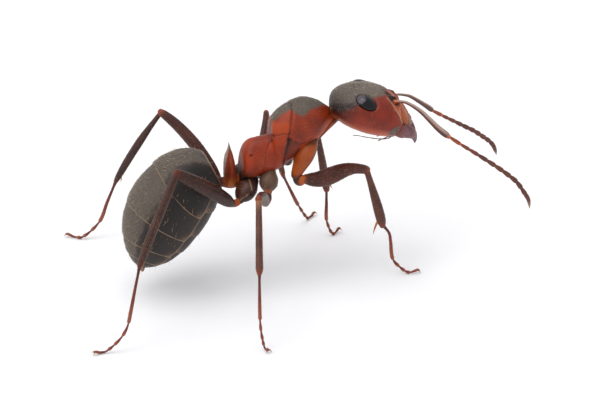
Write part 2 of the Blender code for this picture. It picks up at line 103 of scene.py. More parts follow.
# Gaster, waist to tip: share of the length, half height, half width, shift of the axis to its back
GASTER = [
    (0.000, 0.16, 0.16, -0.04), (0.035, 0.44, 0.43, -0.04), (0.10, 0.70, 0.68, -0.03),
    (0.22, 0.91, 0.88, 0.01), (0.38, 1.02, 0.98, 0.03), (0.54, 1.02, 0.98, 0.04),
    (0.70, 0.92, 0.87, 0.01), (0.83, 0.72, 0.67, -0.04), (0.93, 0.45, 0.41, -0.09),
    (1.00, 0.11, 0.11, -0.12),
]
GASTER_LENGTH = 3.36
GASTER_FRAME = Matrix.Translation((-2.51, 0.0, 2.25)) @ Matrix.Rotation(math.radians(180.0 - 56.5), 4, "Y")
HEAD_FRAME = (
    Matrix.Translation((2.435, -0.19, 4.478))
    @ Matrix.Rotation(math.radians(-11.0), 4, "Z")
    @ Matrix.Rotation(math.radians(16.0), 4, "Y")
    @ Matrix.Rotation(math.radians(-5.0), 4, "X")
)

# %% Joints of the six legs and two feelers
# Each leg: hip, end of the coxa, root of the thigh, knee, ankle, the foot's way, the thigh's bow.
LEGS = {
    "fore_right": [(1.03, -0.33, 3.80), (0.62, -0.51, 3.05), (0.75, -0.62, 2.95), (2.49, -0.25, 2.775),
                   (2.81, -0.62, 1.37),
                   [(2.97, -0.66, 1.14), (3.01, -0.68, 0.88), (3.05, -0.70, 0.45), (3.20, -0.75, 0.22),
                    (3.43, -0.83, 0.05), (3.67, -0.87, 0.11)], (0.0, -0.06, 0.04)],
    "fore_left": [(0.98, 0.33, 3.80), (0.62, 0.51, 3.05), (0.75, 0.65, 2.92), (1.81, 1.91, 2.82),
                  (2.01, 1.74, 1.28),
                  [(2.01, 1.74, 0.87), (2.00, 1.68, 0.42), (2.14, 1.61, 0.05), (2.33, 1.72, 0.13)],
                  (0.05, 0.0, 0.12)],
    "mid_right": [(0.00, -0.25, 3.00), (-0.10, -0.50, 2.66), (-0.21, -0.72, 2.44), (-0.77, -2.18, 3.38),
                  (-1.06, -3.34, 2.00),
                  [(-1.08, -3.42, 1.38), (-1.09, -3.50, 0.77), (-1.07, -3.55, 0.42), (-1.01, -3.62, 0.06),
                   (-0.97, -3.80, 0.10)], (0.0, 0.0, 0.10)],
    "mid_left": [(0.00, 0.25, 3.00), (-0.10, 0.50, 2.66), (-0.10, 0.70, 2.52), (0.54, 2.11, 3.45),
                 (0.94, 1.99, 1.70),
                 [(1.18, 2.16, 1.15), (1.43, 2.34, 0.60), (1.75, 2.58, 0.05), (1.96, 2.76, 0.10)],
                 (0.05, 0.0, 0.10)],
    "hind_right": [(-0.45, -0.19, 2.78), (-0.82, -0.56, 2.55), (-1.04, -0.68, 2.515), (-2.65, -1.52, 4.01),
                   (-3.92, -2.86, 2.35),
                   [(-4.05, -2.86, 1.70), (-4.15, -2.85, 1.16), (-4.25, -2.83, 0.68), (-4.45, -2.81, 0.34),
                    (-4.80, -2.79, 0.05), (-5.06, -2.81, 0.10)], (0.0, -0.12, 0.08)],
    "hind_left": [(-0.44, 0.24, 2.98), (-0.80, 0.50, 2.46), (-1.02, 0.71, 2.44), (-2.17, 2.08, 3.84),
                  (-3.19, 2.81, 1.68),
                  [(-3.40, 2.92, 1.05), (-3.60, 3.02, 0.45), (-4.06, 3.07, 0.05), (-4.38, 3.27, 0.10)],
                  (0.035, 0.10, 0.14)],
}
THIGH_SWAY = {"fore": -0.08, "mid": 0.0, "hind": 0.0}
# Two of the left legs are a little slimmer
SLIM = {"mid_left": 0.80, "hind_left": 0.88}
# Each feeler: the way of its shaft from socket to elbow, then the way of its whip.
FEELERS = {
    "right": [
        [(3.10, -0.53, 4.72), (3.19, -0.56, 4.73), (3.36, -0.62, 4.72), (3.54, -0.69, 4.63),
         (3.74, -0.78, 4.48), (3.92, -0.88, 4.29), (4.12, -0.98, 4.07), (4.35, -1.08, 3.87)],
        [(4.38, -1.08, 3.85), (4.68, -1.08, 3.60), (5.13, -1.09, 3.25), (5.56, -1.09, 2.90),
         (5.87, -1.09, 2.63), (6.13, -1.09, 2.37), (6.31, -1.10, 2.09), (6.45, -1.10, 1.83),
         (6.49, -1.10, 1.57)],
    ],
    "left": [
        [(3.20, -0.08, 4.68), (3.38, 0.04, 4.61), (3.58, 0.16, 4.51), (3.77, 0.29, 4.38),
         (4.03, 0.47, 4.13), (4.29, 0.65, 3.87), (4.49, 0.80, 3.65)],
        [(4.51, 0.80, 3.63), (4.84, 0.92, 3.37), (5.13, 1.02, 3.15), (5.43, 1.12, 2.92), (5.72, 1.22, 2.70),
         (6.01, 1.33, 2.43), (6.19, 1.40, 2.25), (6.32, 1.46, 2.06), (6.43, 1.55, 1.76)],
    ],
}
print(len(LEGS), "legs and", len(FEELERS), "feelers in the plan")

# %% [markdown]
# ## Reading a table as a smooth curve
# A Catmull-Rom curve passes through every row of a table and needs no handles, so a body
# can be described by a dozen rings and still come out round.

# %% Curve helpers
def read(rows, shares):
    """Rows of a table at many shares between 0 and 1, on a Catmull-Rom curve."""
    rows = np.asarray(rows, float)
    last = len(rows) - 1
    place = np.clip(np.asarray(shares, float), 0.0, 1.0) * last
    i = np.minimum(place.astype(int), last - 1)
    f = (place - i)[:, None]
    p, q, r, s = rows[np.maximum(i - 1, 0)], rows[i], rows[i + 1], rows[np.minimum(i + 2, last)]
    return 0.5 * (2 * q + (r - p) * f + (2 * p - 5 * q + 4 * r - s) * f**2 + (3 * q - p - 3 * r + s) * f**3)


def arch(start, end, bow, steps):
    """Points from start to end on a shallow parabola that bow pulls out."""
    share = np.linspace(0.0, 1.0, steps + 1)[:, None]
    start, end, bow = (np.asarray(value, float) for value in (start, end, bow))
    return start + (end - start) * share + bow * 4.0 * share * (1.0 - share)


def even(way, steps):
    """A smooth way through its points, walked in equal steps."""
    fine = read(way, np.linspace(0.0, 1.0, 600))
    walked = np.concatenate([[0.0], np.cumsum(np.linalg.norm(np.diff(fine, axis=0), axis=1))])
    shares = np.linspace(0.0, walked[-1], steps + 1)
    return np.stack([np.interp(shares, walked, fine[:, k]) for k in range(3)], -1)


def fade(value, low, high):
    """0 below low, 1 above high, and a smooth step between them."""
    share = np.clip((value - low) / (high - low), 0.0, 1.0)
    return share * share * (3.0 - 2.0 * share)


def bell(value, width):
    """1 where value is 0, and falling away smoothly over width on both sides."""
    return np.exp(-((value / width) ** 2))


# %% [markdown]
# ## Where the ant stands
# The CAD model is centred on the origin by its box.  The hind body's box, measured here and
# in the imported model, gives the shift between the body plan and the row frame.

# %% Measure the shift
def gaster_ring_points(shares, turns):
    """Points of the hind body in the ant's frame, one row for each share."""
    share, height, width, shift = read(GASTER, shares).T
    along = (share - 0.5) * GASTER_LENGTH
    side = width[:, None] * np.cos(turns)
    deep = -shift[:, None] + height[:, None] * np.sin(turns)
    local = np.stack([np.repeat(along[:, None], deep.shape[1], 1), side, deep], -1)
    return local @ np.array(GASTER_FRAME.to_3x3()).T + np.array(GASTER_FRAME.translation)


plan = gaster_ring_points(np.linspace(0, 1, 20), math.tau * np.arange(18)[None, :] / 18).reshape(-1, 3)
corners = np.array([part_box(f"gaster_{k}") for k in range(1, 6)]) * 1000.0
packed_middle = (corners[:, 0].min(0) + corners[:, 1].max(0)) / 2
SHIFT = packed_middle - (plan.min(0) + plan.max(0)) / 2
SHIFT[2] = 0.0
TO_ROW = Matrix.Diagonal((0.001, 0.001, 0.001, 1.0)) @ Matrix.Translation(Vector(SHIFT))
print("body plan to row frame, mm:", SHIFT.round(4))

# %% [markdown]
# ## Building a plate
# A shell is a grid of points: rings along the first axis, points round each ring along the
# second.  Quads join the rings and a fan closes each end.  Marks are painted on the points as
# named attributes, because a marking that follows the animal's form can't come from a plain
# three-dimensional pattern.  Each shell also keeps its lie, the way its hairs point.

# %% From a grid to a shell
def normals_of(grid):
    """Unit normals of a ring grid, pointing out of it."""
    around = np.roll(grid, -1, 1) - np.roll(grid, 1, 1)
    along = np.gradient(grid, axis=0)
    normal = np.cross(around, along)
    normal /= np.linalg.norm(normal, axis=-1, keepdims=True) + 1e-12
    outward = grid - grid.mean(1, keepdims=True)
    if (normal * outward).sum() < 0:
        normal = -normal
    return normal


def shell(grid, **marks):
    """Points, faces, unwrap and marks of a closed loft over a ring grid."""
    rings, points = grid.shape[:2]
    lie = np.gradient(grid, axis=0)
    lie /= np.linalg.norm(lie, axis=-1, keepdims=True) + 1e-12
    flat = np.arange(rings * points).reshape(rings, points)
    a, b = flat[:-1], np.roll(flat[:-1], -1, 1)
    c, d = np.roll(flat[1:], -1, 1), flat[1:]
    faces = np.stack([a, b, c, d], -1).reshape(-1, 4).tolist()
    u = np.arange(points) / points
    rows = np.arange(rings - 1) / (rings - 1)
    step_u, step_v = 1.0 / points, 1.0 / (rings - 1)
    uu, vv = np.broadcast_to(u, a.shape), np.broadcast_to(rows[:, None], a.shape)
    corners = ((0, 0), (1, 0), (1, 1), (0, 1))
    uv_rows = [np.stack([np.stack([uu + du * step_u, vv + dv * step_v], -1) for du, dv in corners],
                        2).reshape(-1, 2)]
    poles = [rings * points, rings * points + 1]
    for row, pole, level in ((flat[0], poles[0], 0.0), (flat[-1], poles[1], 1.0)):
        faces += [[int(p), int(q), pole] for p, q in zip(row, np.roll(row, -1))]
        fan = [np.stack([u + du * step_u, np.full(points, level)], -1) for du in (0, 1, 0.5)]
        uv_rows.append(np.stack(fan, 1).reshape(-1, 2))
    places = np.vstack([grid.reshape(-1, 3), grid[0].mean(0), grid[-1].mean(0)])
    painted = {}
    for name, value in marks.items():
        value = np.broadcast_to(value, (rings, points))
        painted[name] = np.concatenate([value.reshape(-1), [value[0].mean(), value[-1].mean()]])
    lies = np.vstack([lie.reshape(-1, 3), lie[0].mean(0), lie[-1].mean(0)])
    return {"places": places, "faces": faces, "uv": np.vstack(uv_rows), "marks": painted, "lie": lies}


# %% Joining and turning shells
def joined(shells):
    """Several shells as one, each with its own strip of the unwrap."""
    total = {"places": [], "faces": [], "uv": [], "lie": []}
    names = sorted({name for one in shells for name in one["marks"]})
    marks = {name: [] for name in names}
    count = 0
    for number, one in enumerate(shells):
        total["places"].append(one["places"])
        total["lie"].append(one["lie"])
        total["faces"] += [[index + count for index in face] for face in one["faces"]]
        total["uv"].append((one["uv"] + [0.0, number]) / [1.0, len(shells)])
        for name in names:
            marks[name].append(one["marks"].get(name, np.zeros(len(one["places"]))))
        count += len(one["places"])
    return {
        "places": np.vstack(total["places"]), "faces": total["faces"], "uv": np.vstack(total["uv"]),
        "lie": np.vstack(total["lie"]), "marks": {name: np.concatenate(marks[name]) for name in names},
    }


def turned(one, matrix):
    """A shell taken by matrix from a part's own frame to the ant's."""
    spin = np.array(matrix.to_3x3())
    moved = dict(one)
    moved["places"] = one["places"] @ spin.T + np.array(matrix.translation)
    moved["lie"] = one["lie"] @ spin.T
    return moved


# %% From a shell to a piece of the model
def mesh_of(name, one):
    """A mesh in millimetres with the shell's unwrap, marks and lie."""
    mesh = bpy.data.meshes.new(name)
    mesh.from_pydata(one["places"].tolist(), [], one["faces"])
    unwrap = mesh.uv_layers.new(name="Unwrap")
    unwrap.uv.foreach_set("vector", one["uv"].astype(np.float32).ravel())
    for mark, value in one["marks"].items():
        layer = mesh.attributes.new(mark, "FLOAT", "POINT")
        layer.data.foreach_set("value", value.astype(np.float32))
    layer = mesh.attributes.new("lie", "FLOAT_VECTOR", "POINT")
    layer.data.foreach_set("vector", one["lie"].astype(np.float32).ravel())
    bm = bmesh.new()
    bm.from_mesh(mesh)
    bmesh.ops.recalc_face_normals(bm, faces=bm.faces)
    bm.to_mesh(mesh)
    bm.free()
    mesh.shade_smooth()
    return mesh


# The shells that grow hair, by the region of the body
COATS = {}


def keep(name, made, material, nodes=(), coat=None):
    """Place a shell or mesh made in millimetres, and note the coat it will grow."""
    mesh = mesh_of(name, made) if isinstance(made, dict) else made
    if coat:
        COATS.setdefault(coat, []).append(made)
    piece = bpy.data.objects.new(name, mesh)
    bpy.context.scene.collection.objects.link(piece)
    mesh.materials.clear()
    mesh.materials.append(material)
    mesh.transform(TO_ROW)
    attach(piece, "root")
    if nodes:
        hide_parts(*nodes)
    size = np.ptp(np.array([vert.co for vert in mesh.vertices]), axis=0) * 1000
    print(f"{name}: {sum(len(p.vertices) - 2 for p in mesh.polygons)} triangles, {size.round(2)} mm")
    return piece


# %% [markdown]
# ## Insect cuticle
# Cuticle is layers of chitin hardened by tanning: amber and orange where it is thin, red-brown
# to nearly black where it is thick.  Its surface is a fine mesh of cells about 0.015 mm wide,
# which gives a satin gloss and not a mirror.  Short hairs lie flat on the grey zones and make
# them look dusted.  One function builds the node tree and each finish gives it its colours.

# %% Colour and node helpers
def linear(code):
    """An sRGB hex colour as linear red, green, blue and alpha."""
    values = [int(code[i:i + 2], 16) / 255 for i in (1, 3, 5)]
    return (*[v / 12.92 if v <= 0.04045 else ((v + 0.055) / 1.055) ** 2.4 for v in values], 1.0)


def add(tree, kind, inputs=(), **settings):
    """One node with its settings; each input is a value or a socket to link."""
    node = tree.nodes.new(kind)
    for name, value in settings.items():
        setattr(node, name, value)
    for key, value in dict(inputs).items():
        if isinstance(value, bpy.types.NodeSocket):
            tree.links.new(value, node.inputs[key])
        else:
            node.inputs[key].default_value = value
    return node


def new_material(name):
    """A material with its tree and its shader node."""
    material = bpy.data.materials.new(name)
    material.use_nodes = True
    return material, material.node_tree, material.node_tree.nodes["Principled BSDF"]


def blend_to(tree, amount, below, above):
    """Mix two colours, each a hex code or a socket."""
    node = add(tree, "ShaderNodeMix", {0: amount}, data_type="RGBA")
    for key, value in ((6, below), (7, above)):
        if isinstance(value, str):
            node.inputs[key].default_value = linear(value)
        else:
            tree.links.new(value, node.inputs[key])
    return node.outputs[2]


def millimetres(tree):
    """Object coordinates in millimetres."""
    place = add(tree, "ShaderNodeTexCoord").outputs["Object"]
    return add(tree, "ShaderNodeVectorMath", {0: place, 1: (1000.0,) * 3}, operation="MULTIPLY").outputs[0]


def mark(tree, name):
    """A mark painted on the points of a shell."""
    return add(tree, "ShaderNodeAttribute", attribute_name=name).outputs["Fac"]


# %% One recipe for every plate
# Cells and grains per mm, depth of the relief in metres, and how ragged a dusty zone's edge is
CELL_SCALE = 60.0
GRAIN_SCALE = 34.0
RELIEF_DEPTH = 0.0000035
RAGGED_EDGE = 0.35


def cuticle(name, clear, deep, gloss=0.38, dusk="#7a7065", dusk_deep="#665c52", seam="#1d0e0a",
            pale="#cfa57c", warm="#a84a22", relief=1.0):
    """clear and deep are the tones of the bare plate; dusk is the dusty dark zone; the seam colour also
    paints shade, and the pale colour also paints highlights.
    """
    material, tree, shader = new_material(name)
    place = millimetres(tree)
    cloud = add(tree, "ShaderNodeTexNoise", {"Vector": place, "Scale": 2.6, "Detail": 5.0}).outputs["Fac"]
    cells = add(tree, "ShaderNodeTexVoronoi", {"Vector": place, "Scale": CELL_SCALE},
                feature="F1").outputs["Distance"]
    grain = add(tree, "ShaderNodeTexNoise",
                {"Vector": place, "Scale": GRAIN_SCALE, "Detail": 3.0}).outputs["Fac"]
    spread = add(tree, "ShaderNodeMapRange", {0: cloud, 1: 0.36, 2: 0.64}).outputs[0]
    bare = blend_to(tree, spread, clear, deep)
    speck = add(tree, "ShaderNodeMapRange", {0: grain, 1: 0.40, 2: 0.66}).outputs[0]
    dusty = blend_to(tree, speck, dusk_deep, dusk)
    ragged = add(tree, "ShaderNodeMath", {0: grain, 1: 0.5, 2: 0.0}, operation="SUBTRACT").outputs[0]
    edge = add(tree, "ShaderNodeMath", {0: ragged, 1: RAGGED_EDGE, 2: mark(tree, "dusk")},
               operation="MULTIPLY_ADD").outputs[0]
    wander = add(tree, "ShaderNodeMath", {0: cloud, 1: 0.5}, operation="SUBTRACT").outputs[0]
    edge = add(tree, "ShaderNodeMath", {0: wander, 1: 0.9, 2: edge}, operation="MULTIPLY_ADD").outputs[0]
    zone = add(tree, "ShaderNodeMapRange", {0: edge, 1: 0.28, 2: 0.72},
               interpolation_type="SMOOTHSTEP").outputs[0]
    colour = blend_to(tree, mark(tree, "warm"), bare, warm)
    colour = blend_to(tree, zone, colour, dusty)
    # Dark seams and painted shade, then pale hems and painted highlights
    colour = blend_to(tree, mark(tree, "seam"), colour, seam)
    colour = blend_to(tree, mark(tree, "pale"), colour, pale)
    tree.links.new(colour, shader.inputs["Base Color"])
    rough = add(tree, "ShaderNodeMapRange", {0: grain, 1: 0.3, 2: 0.7, 3: gloss - 0.06, 4: gloss + 0.08})
    duller = add(tree, "ShaderNodeMath", {0: zone, 1: 0.16, 2: rough.outputs[0]}, operation="MULTIPLY_ADD")
    tree.links.new(duller.outputs[0], shader.inputs["Roughness"])
    height = add(tree, "ShaderNodeMath", {0: cells, 1: 0.5, 2: grain}, operation="MULTIPLY_ADD").outputs[0]
    bump = add(tree, "ShaderNodeBump",
               {"Height": height, "Strength": 0.35, "Distance": RELIEF_DEPTH * relief})
    tree.links.new(bump.outputs[0], shader.inputs["Normal"])
    shader.inputs["IOR"].default_value = 1.56
    shader.inputs["Specular IOR Level"].default_value = 0.24
    return material


# %% The plates' finishes
# Head: well tanned, a deep blood red with a satin gloss, and dusty grey where the down lies
HEAD_RED = cuticle("tanned_head_cuticle", "#832713", "#6b1e0d", gloss=0.36, dusk="#6c6158",
                   dusk_deep="#5b4f47", warm="#b5502a")
# Trunk: the same plate a little thinner and brighter, with a browner dusty patch
TRUNK_RED = cuticle("tanned_trunk_cuticle", "#98330f", "#7c260d", gloss=0.42, dusk="#645a50",
                    dusk_deep="#4c433a", warm="#a23c12")
# Waist scale: red above, orange at its foot where light comes through, and a pale grey painted sheen on its
# rear face
SCALE_RED = cuticle("waist_scale_cuticle", "#8a3010", "#73250d", gloss=0.42, dusk="#645a50",
                    dusk_deep="#4c433a", warm="#b8611f", pale="#b29c93")
# Throat, front hips and face shield: thin, so amber
AMBER = cuticle("thin_amber_cuticle", "#a04a12", "#833710", warm="#a9552e")
# Hind body: thick and nearly black, with a coarser surface, ivory hems and near-black painted shade
DUSKY = cuticle("dusky_gaster_cuticle", "#352c28", "#2a2320", gloss=0.44, dusk="#61574e",
                dusk_deep="#4a4139", seam="#191312", pale="#bb9572", relief=1.2)
# Hips, thighs, shins and feet: ever redder towards the claws
COXA_BROWN = cuticle("dark_hip_cuticle", "#4a302a", "#35211c", warm="#a34c18")
LEG_BROWN = cuticle("thigh_cuticle_brown", "#54281e", "#3d1c15", warm="#8c3c22", pale="#b98258")
SHIN_BROWN = cuticle("shin_cuticle_brown", "#603a2f", "#4a2a22", gloss=0.40, warm="#7c3424", pale="#b98258")
TARSUS_RED = cuticle("foot_cuticle_red", "#7b3426", "#5f261c", gloss=0.42, warm="#95503a")
# Feelers: brown, with a pinkish grey highlight painted along the top of each shaft
FEELER_BROWN = cuticle("feeler_cuticle_brown", "#6a3c30", "#532e27", gloss=0.44, warm="#bb5628",
                       pale="#b8a196")
# Jaws: hard and smooth, with a plum sheen
JAW_BROWN = cuticle("jaw_cuticle", "#7a5054", "#5f3b40", gloss=0.34, seam="#2b1714", warm="#7c4638")
# Claws and spurs: small, clear and glossy
CLAW = cuticle("claw_cuticle", "#8c4a2c", "#5d2c1c", gloss=0.25)
SPUR = cuticle("thin_spur_cuticle", "#c8862e", "#a9671f", gloss=0.34)
print(len(bpy.data.materials), "kinds of cuticle")

# %% [markdown]
# ## Eye, hair and paper
# A compound eye is hundreds of lenses about 0.02 mm across, so it is black and glossy with a
# very fine relief of cells.  Ant hair is pale gold, and silvery on the dusky plates.

# %% Eye, hair and floor materials
# Lenses of an eye per mm, and the depth of their relief in metres
FACET_SCALE = 48.0
FACET_DEPTH = 0.000002


def eye_black():
    """Black lenses with a high gloss, and a grey painted highlight where they are marked."""
    material, tree, shader = new_material("facetted_eye_black")
    place = millimetres(tree)
    facet = add(tree, "ShaderNodeTexVoronoi", {"Vector": place, "Scale": FACET_SCALE},
                feature="F1").outputs["Distance"]
    tone = add(tree, "ShaderNodeMapRange", {0: facet, 1: 0.1, 2: 0.7}).outputs[0]
    black = blend_to(tree, tone, "#0f0e14", "#060608")
    # The grey highlight painted where an eye is marked
    tree.links.new(blend_to(tree, mark(tree, "bloom"), black, "#4c454c"), shader.inputs["Base Color"])
    bump = add(tree, "ShaderNodeBump", {"Height": facet, "Strength": 0.25, "Distance": FACET_DEPTH},
               invert=True)
    tree.links.new(bump.outputs[0], shader.inputs["Normal"])
    shader.inputs["Roughness"].default_value = 0.11
    shader.inputs["IOR"].default_value = 1.5
    shader.inputs["Specular IOR Level"].default_value = 0.30
    return material


def hair(name, golden, grey):
    """Ant hair: gold on the red plates and silver on the dusky ones, a little uneven."""
    material, tree, shader = new_material(name)
    place = millimetres(tree)
    patch = add(tree, "ShaderNodeTexNoise", {"Vector": place, "Scale": 9.0, "Detail": 2.0}).outputs["Fac"]
    tone = add(tree, "ShaderNodeMapRange", {0: patch, 1: 0.35, 2: 0.65}).outputs[0]
    gold, silver = blend_to(tree, tone, *golden), blend_to(tree, tone, *grey)
    tree.links.new(blend_to(tree, mark(tree, "dusk"), gold, silver), shader.inputs["Base Color"])
    shader.inputs["Roughness"].default_value = 0.42
    shader.inputs["Specular IOR Level"].default_value = 0.3
    shader.inputs["IOR"].default_value = 1.55
    return material


def studio_paper():
    """Matt white paper, cloudy on the scale of a few millimetres."""
    material, tree, shader = new_material("matt_studio_paper")
    place = millimetres(tree)
    fibre = add(tree, "ShaderNodeTexNoise", {"Vector": place, "Scale": 0.35, "Detail": 4.0}).outputs["Fac"]
    tone = add(tree, "ShaderNodeMapRange", {0: fibre, 1: 0.3, 2: 0.7}).outputs[0]
    tree.links.new(blend_to(tree, tone, "#f2f2f3", "#f5f5f5"), shader.inputs["Base Color"])
    shader.inputs["Roughness"].default_value = 0.95
    shader.inputs["Specular IOR Level"].default_value = 0.1
    return material


EYE_BLACK = eye_black()
DOWN = hair("flat_down", ("#a06a3c", "#b98a58"), ("#9a8e80", "#b9ad9b"))
BRISTLE = hair("upright_bristle", ("#c39a62", "#e2cda4"), ("#cdbf9f", "#e6dcc4"))
PAPER = studio_paper()
print(len(bpy.data.materials), "materials")

# %% [markdown]
# ## Head capsule
# The head is one rounded box, a little broader behind the eyes.  Its detail is sculpted in the
# head's own frame: a groove round each eye, two frontal ridges, the pits that hold the
# feelers, the line down the middle of the brow, and the collar of the neck.

# %% Head helpers
def head_grid(rows, rings, points):
    """Oval rings of a table in the head's frame, closed to a point at both ends."""
    first, last = rows[0], rows[-1]
    reach = 0.35 * first[2]
    table = [(first[0] - reach * 0.35, first[1], 0.0, 0.0), *rows, (last[0] + 0.05, last[1], 0.0, 0.0)]
    along, middle, height, width = read(table, np.linspace(0.0, 1.0, rings)).T
    height, width = np.maximum(height, 0.004), np.maximum(width, 0.004)
    turn = math.tau * np.arange(points) / points
    return np.stack([
        np.repeat(along[:, None], points, 1),
        width[:, None] * np.cos(turn),
        middle[:, None] + height[:, None] * np.sin(turn),
    ], -1)


def away(points, line):
    """How far each point lies from a polyline."""
    flat = points.reshape(-1, points.shape[-1])
    best = np.full(len(flat), 9.0)
    for start, end in zip(line, line[1:]):
        start, end = np.asarray(start, float), np.asarray(end, float)
        way = end - start
        share = np.clip(((flat - start) @ way) / (way @ way + 1e-12), 0.0, 1.0)
        best = np.minimum(best, np.linalg.norm(flat - start - share[:, None] * way, axis=1))
    return best.reshape(points.shape[:-1])


def off(points, spot):
    """How far each point lies from one spot."""
    return np.linalg.norm(points - spot, axis=-1)


# %% Where the eyes sit
EYE_SIZE = (0.27, 0.19, 0.13)
EYE_PLACE = (-0.10, 0.61, 0.35)
EYE_TILT = 26.0


def eye_frame(side):
    """Frame of an eye: X its long axis, Z out of the head."""
    along, out, height = EYE_PLACE
    outward = Vector((0.0, side * out / 0.86**2, height / 0.50**2)).normalized()
    forward = Vector((1.0, 0.0, 0.0))
    tilt = Matrix.Rotation(math.radians(EYE_TILT) * side, 3, outward)
    axes = Matrix((tilt @ forward, tilt @ outward.cross(forward), outward)).transposed().to_4x4()
    return Matrix.Translation((along, side * out, height)) @ axes


# %% Lines and spots on one half of the head, used on both
# along, side and height in the head's frame
FEELER_HOLLOW = [(0.42, 0.20, 0.57), (0.54, 0.31, 0.51), (0.62, 0.35, 0.45)]
HOLLOW_SHADE = [(0.40, 0.19, 0.57), (0.52, 0.31, 0.52), (0.62, 0.36, 0.45)]
BROW_SHADE = [(0.36, 0.10, 0.60), (0.50, 0.16, 0.58), (0.64, 0.22, 0.53)]
CHEEK_LINE = [
    (0.40, 0.38, 0.52), (0.485, 0.43, 0.475), (0.61, 0.505, 0.375), (0.74, 0.54, 0.26),
    (0.86, 0.52, 0.115), (0.95, 0.48, 0.0),
]
JAW_ROOT = [(0.72, 0.64, -0.31), (0.745, 0.69, -0.20), (0.81, 0.665, -0.11)]
JAW_NOTCH = (0.97, 0.46, -0.18)
JAW_JOINT = (0.84, 0.50, -0.30)
FEELER_SOCKET = (0.70, 0.275, 0.42)
FACE_TRIANGLE = (0.70, 0.0, 0.46)
NECK = (-0.66, 0.04, -0.36)
# Lower border of the dusky crown, seen from the side: along and height
CROWN_BORDER = [
    (-0.92, -0.18), (-0.72, 0.07), (-0.43, 0.24), (-0.10, 0.41),
    (0.05, 0.50), (0.22, 0.565), (0.34, 0.59), (0.48, 0.72),
]

# %% Sculpt the head
grid = head_grid(HEAD, 190, 240)
out = normals_of(grid)
x, y, z = np.moveaxis(grid, -1, 0)
mirrored = np.stack([x, np.abs(y), z], -1)
push = np.zeros_like(x)
orbit = np.zeros_like(x)
for side in (1, -1):
    inverse = np.array(eye_frame(side).inverted())
    local = grid @ inverse[:3, :3].T + inverse[:3, 3]
    reach = np.hypot(local[..., 0] / EYE_SIZE[0], local[..., 1] / EYE_SIZE[1])
    near = (local[..., 2] > -0.3) & (y * side > 0)
    push += np.where(near, 0.016 * bell(reach - 1.22, 0.12) - 0.030 * bell(reach - 1.0, 0.10), 0.0)
    orbit = np.maximum(orbit, np.where(near, bell(reach - 1.02, 0.08), 0.0))
ridge_side = 0.165 + 0.10 * fade(0.80 - x, 0.0, 0.5)
ridge = bell(np.abs(y) - ridge_side, 0.034) * fade(x, 0.30, 0.58) * (1 - fade(x, 0.70, 0.90)) * (z > 0)
socket, jaw_notch = off(mirrored, FEELER_SOCKET), off(mirrored, JAW_NOTCH)
triangle, neck = off(grid, FACE_TRIANGLE), off(grid, NECK)
brow_line = bell(y, 0.010) * fade(x, -0.30, -0.10) * (1 - fade(x, 0.56, 0.66)) * (z > 0)
gular = bell(y, 0.014) * (z < -0.1) * fade(x, -0.6, -0.4)
push += 0.036 * ridge - 0.085 * bell(socket, 0.085) + 0.018 * bell(socket - 0.135, 0.03)
push += -0.035 * bell(away(mirrored, FEELER_HOLLOW), 0.08)
push += -0.008 * brow_line - 0.030 * bell(triangle, 0.10) - 0.010 * gular - 0.03 * bell(jaw_notch, 0.07)
push += 0.03 * bell(neck - 0.20, 0.035) - 0.05 * bell(neck, 0.12)
grid = grid + out * push[..., None]
print("head sculpted by", round(push.min(), 3), "to", round(push.max(), 3), "mm")

# %% Paint the head
border = np.interp(x, *np.array(CROWN_BORDER).T)
ahead = fade(x, 0.0, 0.25)
jaw_root = away(mirrored, JAW_ROOT)
dusk = np.maximum(fade(z - border, -0.15 + 0.05 * ahead, 0.11 - 0.06 * ahead), bell(jaw_root, 0.085))
# A pale highlight painted along the cheek line
pale = (0.45 + 0.40 * fade(x, 0.50, 0.80)) * bell(away(mirrored, CHEEK_LINE), 0.018)
line_along, _, line_height = np.array(CHEEK_LINE[::-1]).T
in_front = fade(x - np.interp(z, line_height, line_along), 0.0, 0.05) * (z > -0.05)
nape_shade = 0.60 * (1 - fade(x, -0.80, -0.36)) * bell(z + 0.08, 0.26)
front_shade = 0.45 * bell(np.hypot(x - 0.62, (np.abs(y) - 0.20) * 0.9), 0.16) * (z > 0.2)
rear_border = (0.55 * bell(z - border, 0.07) * (1 - fade(x, -0.45, -0.10))
               + 0.30 * bell(z - 0.14, 0.22) * (1 - fade(x, -0.35, 0.0)))
# Dark grooves, pits and joints, with shade painted in the hollows by the feelers, on the brow, at the nape,
# on the front and towards the back of the head
seam = np.clip(0.9 * bell(socket, 0.095) + 0.5 * orbit + 0.66 * bell(away(mirrored, HOLLOW_SHADE), 0.11)
               + 0.36 * bell(away(mirrored, BROW_SHADE), 0.10) + 0.35 * bell(jaw_root, 0.07)
               + 0.25 * brow_line + 0.8 * bell(neck, 0.16) + 0.9 * bell(jaw_notch, 0.06)
               + nape_shade + front_shade + rear_border + 0.5 * bell(off(mirrored, JAW_JOINT), 0.10)
               + 0.18 * (1 - fade(x, -0.5, -0.2)), 0, 1)
warm = 0.55 * fade(x, 0.62, 0.80) * (z > 0) * (1 - fade(np.abs(y), 0.36, 0.44))
warm = np.maximum(np.maximum(warm, 0.9 * in_front),
                  0.15 * ridge + 0.75 * fade(-z, 0.14, 0.34) * (1 - fade(x, 0.60, 0.80)))
bare = np.clip(orbit + bell(socket, 0.12) + bell(neck, 0.22) + fade(x, 0.80, 0.90), 0, 1)
by_eye = bell(np.hypot(x + 0.42, z - 0.20), 0.09) + bell(np.hypot(x + 0.12, z - 0.52), 0.12)
downy = (0.12 + 0.88 * dusk) * (1 - bare)
setose = (0.25 * (z > 0.30) + 0.9 * (z < -0.38) + 0.9 * by_eye + 0.8 * bell(x + 0.78, 0.10)) * (1 - bare)
head = shell(grid, dusk=dusk, pale=pale, seam=seam, warm=warm, downy=downy, setose=setose)
keep("head_capsule", turned(head, HEAD_FRAME), HEAD_RED, ["head"], coat="head")
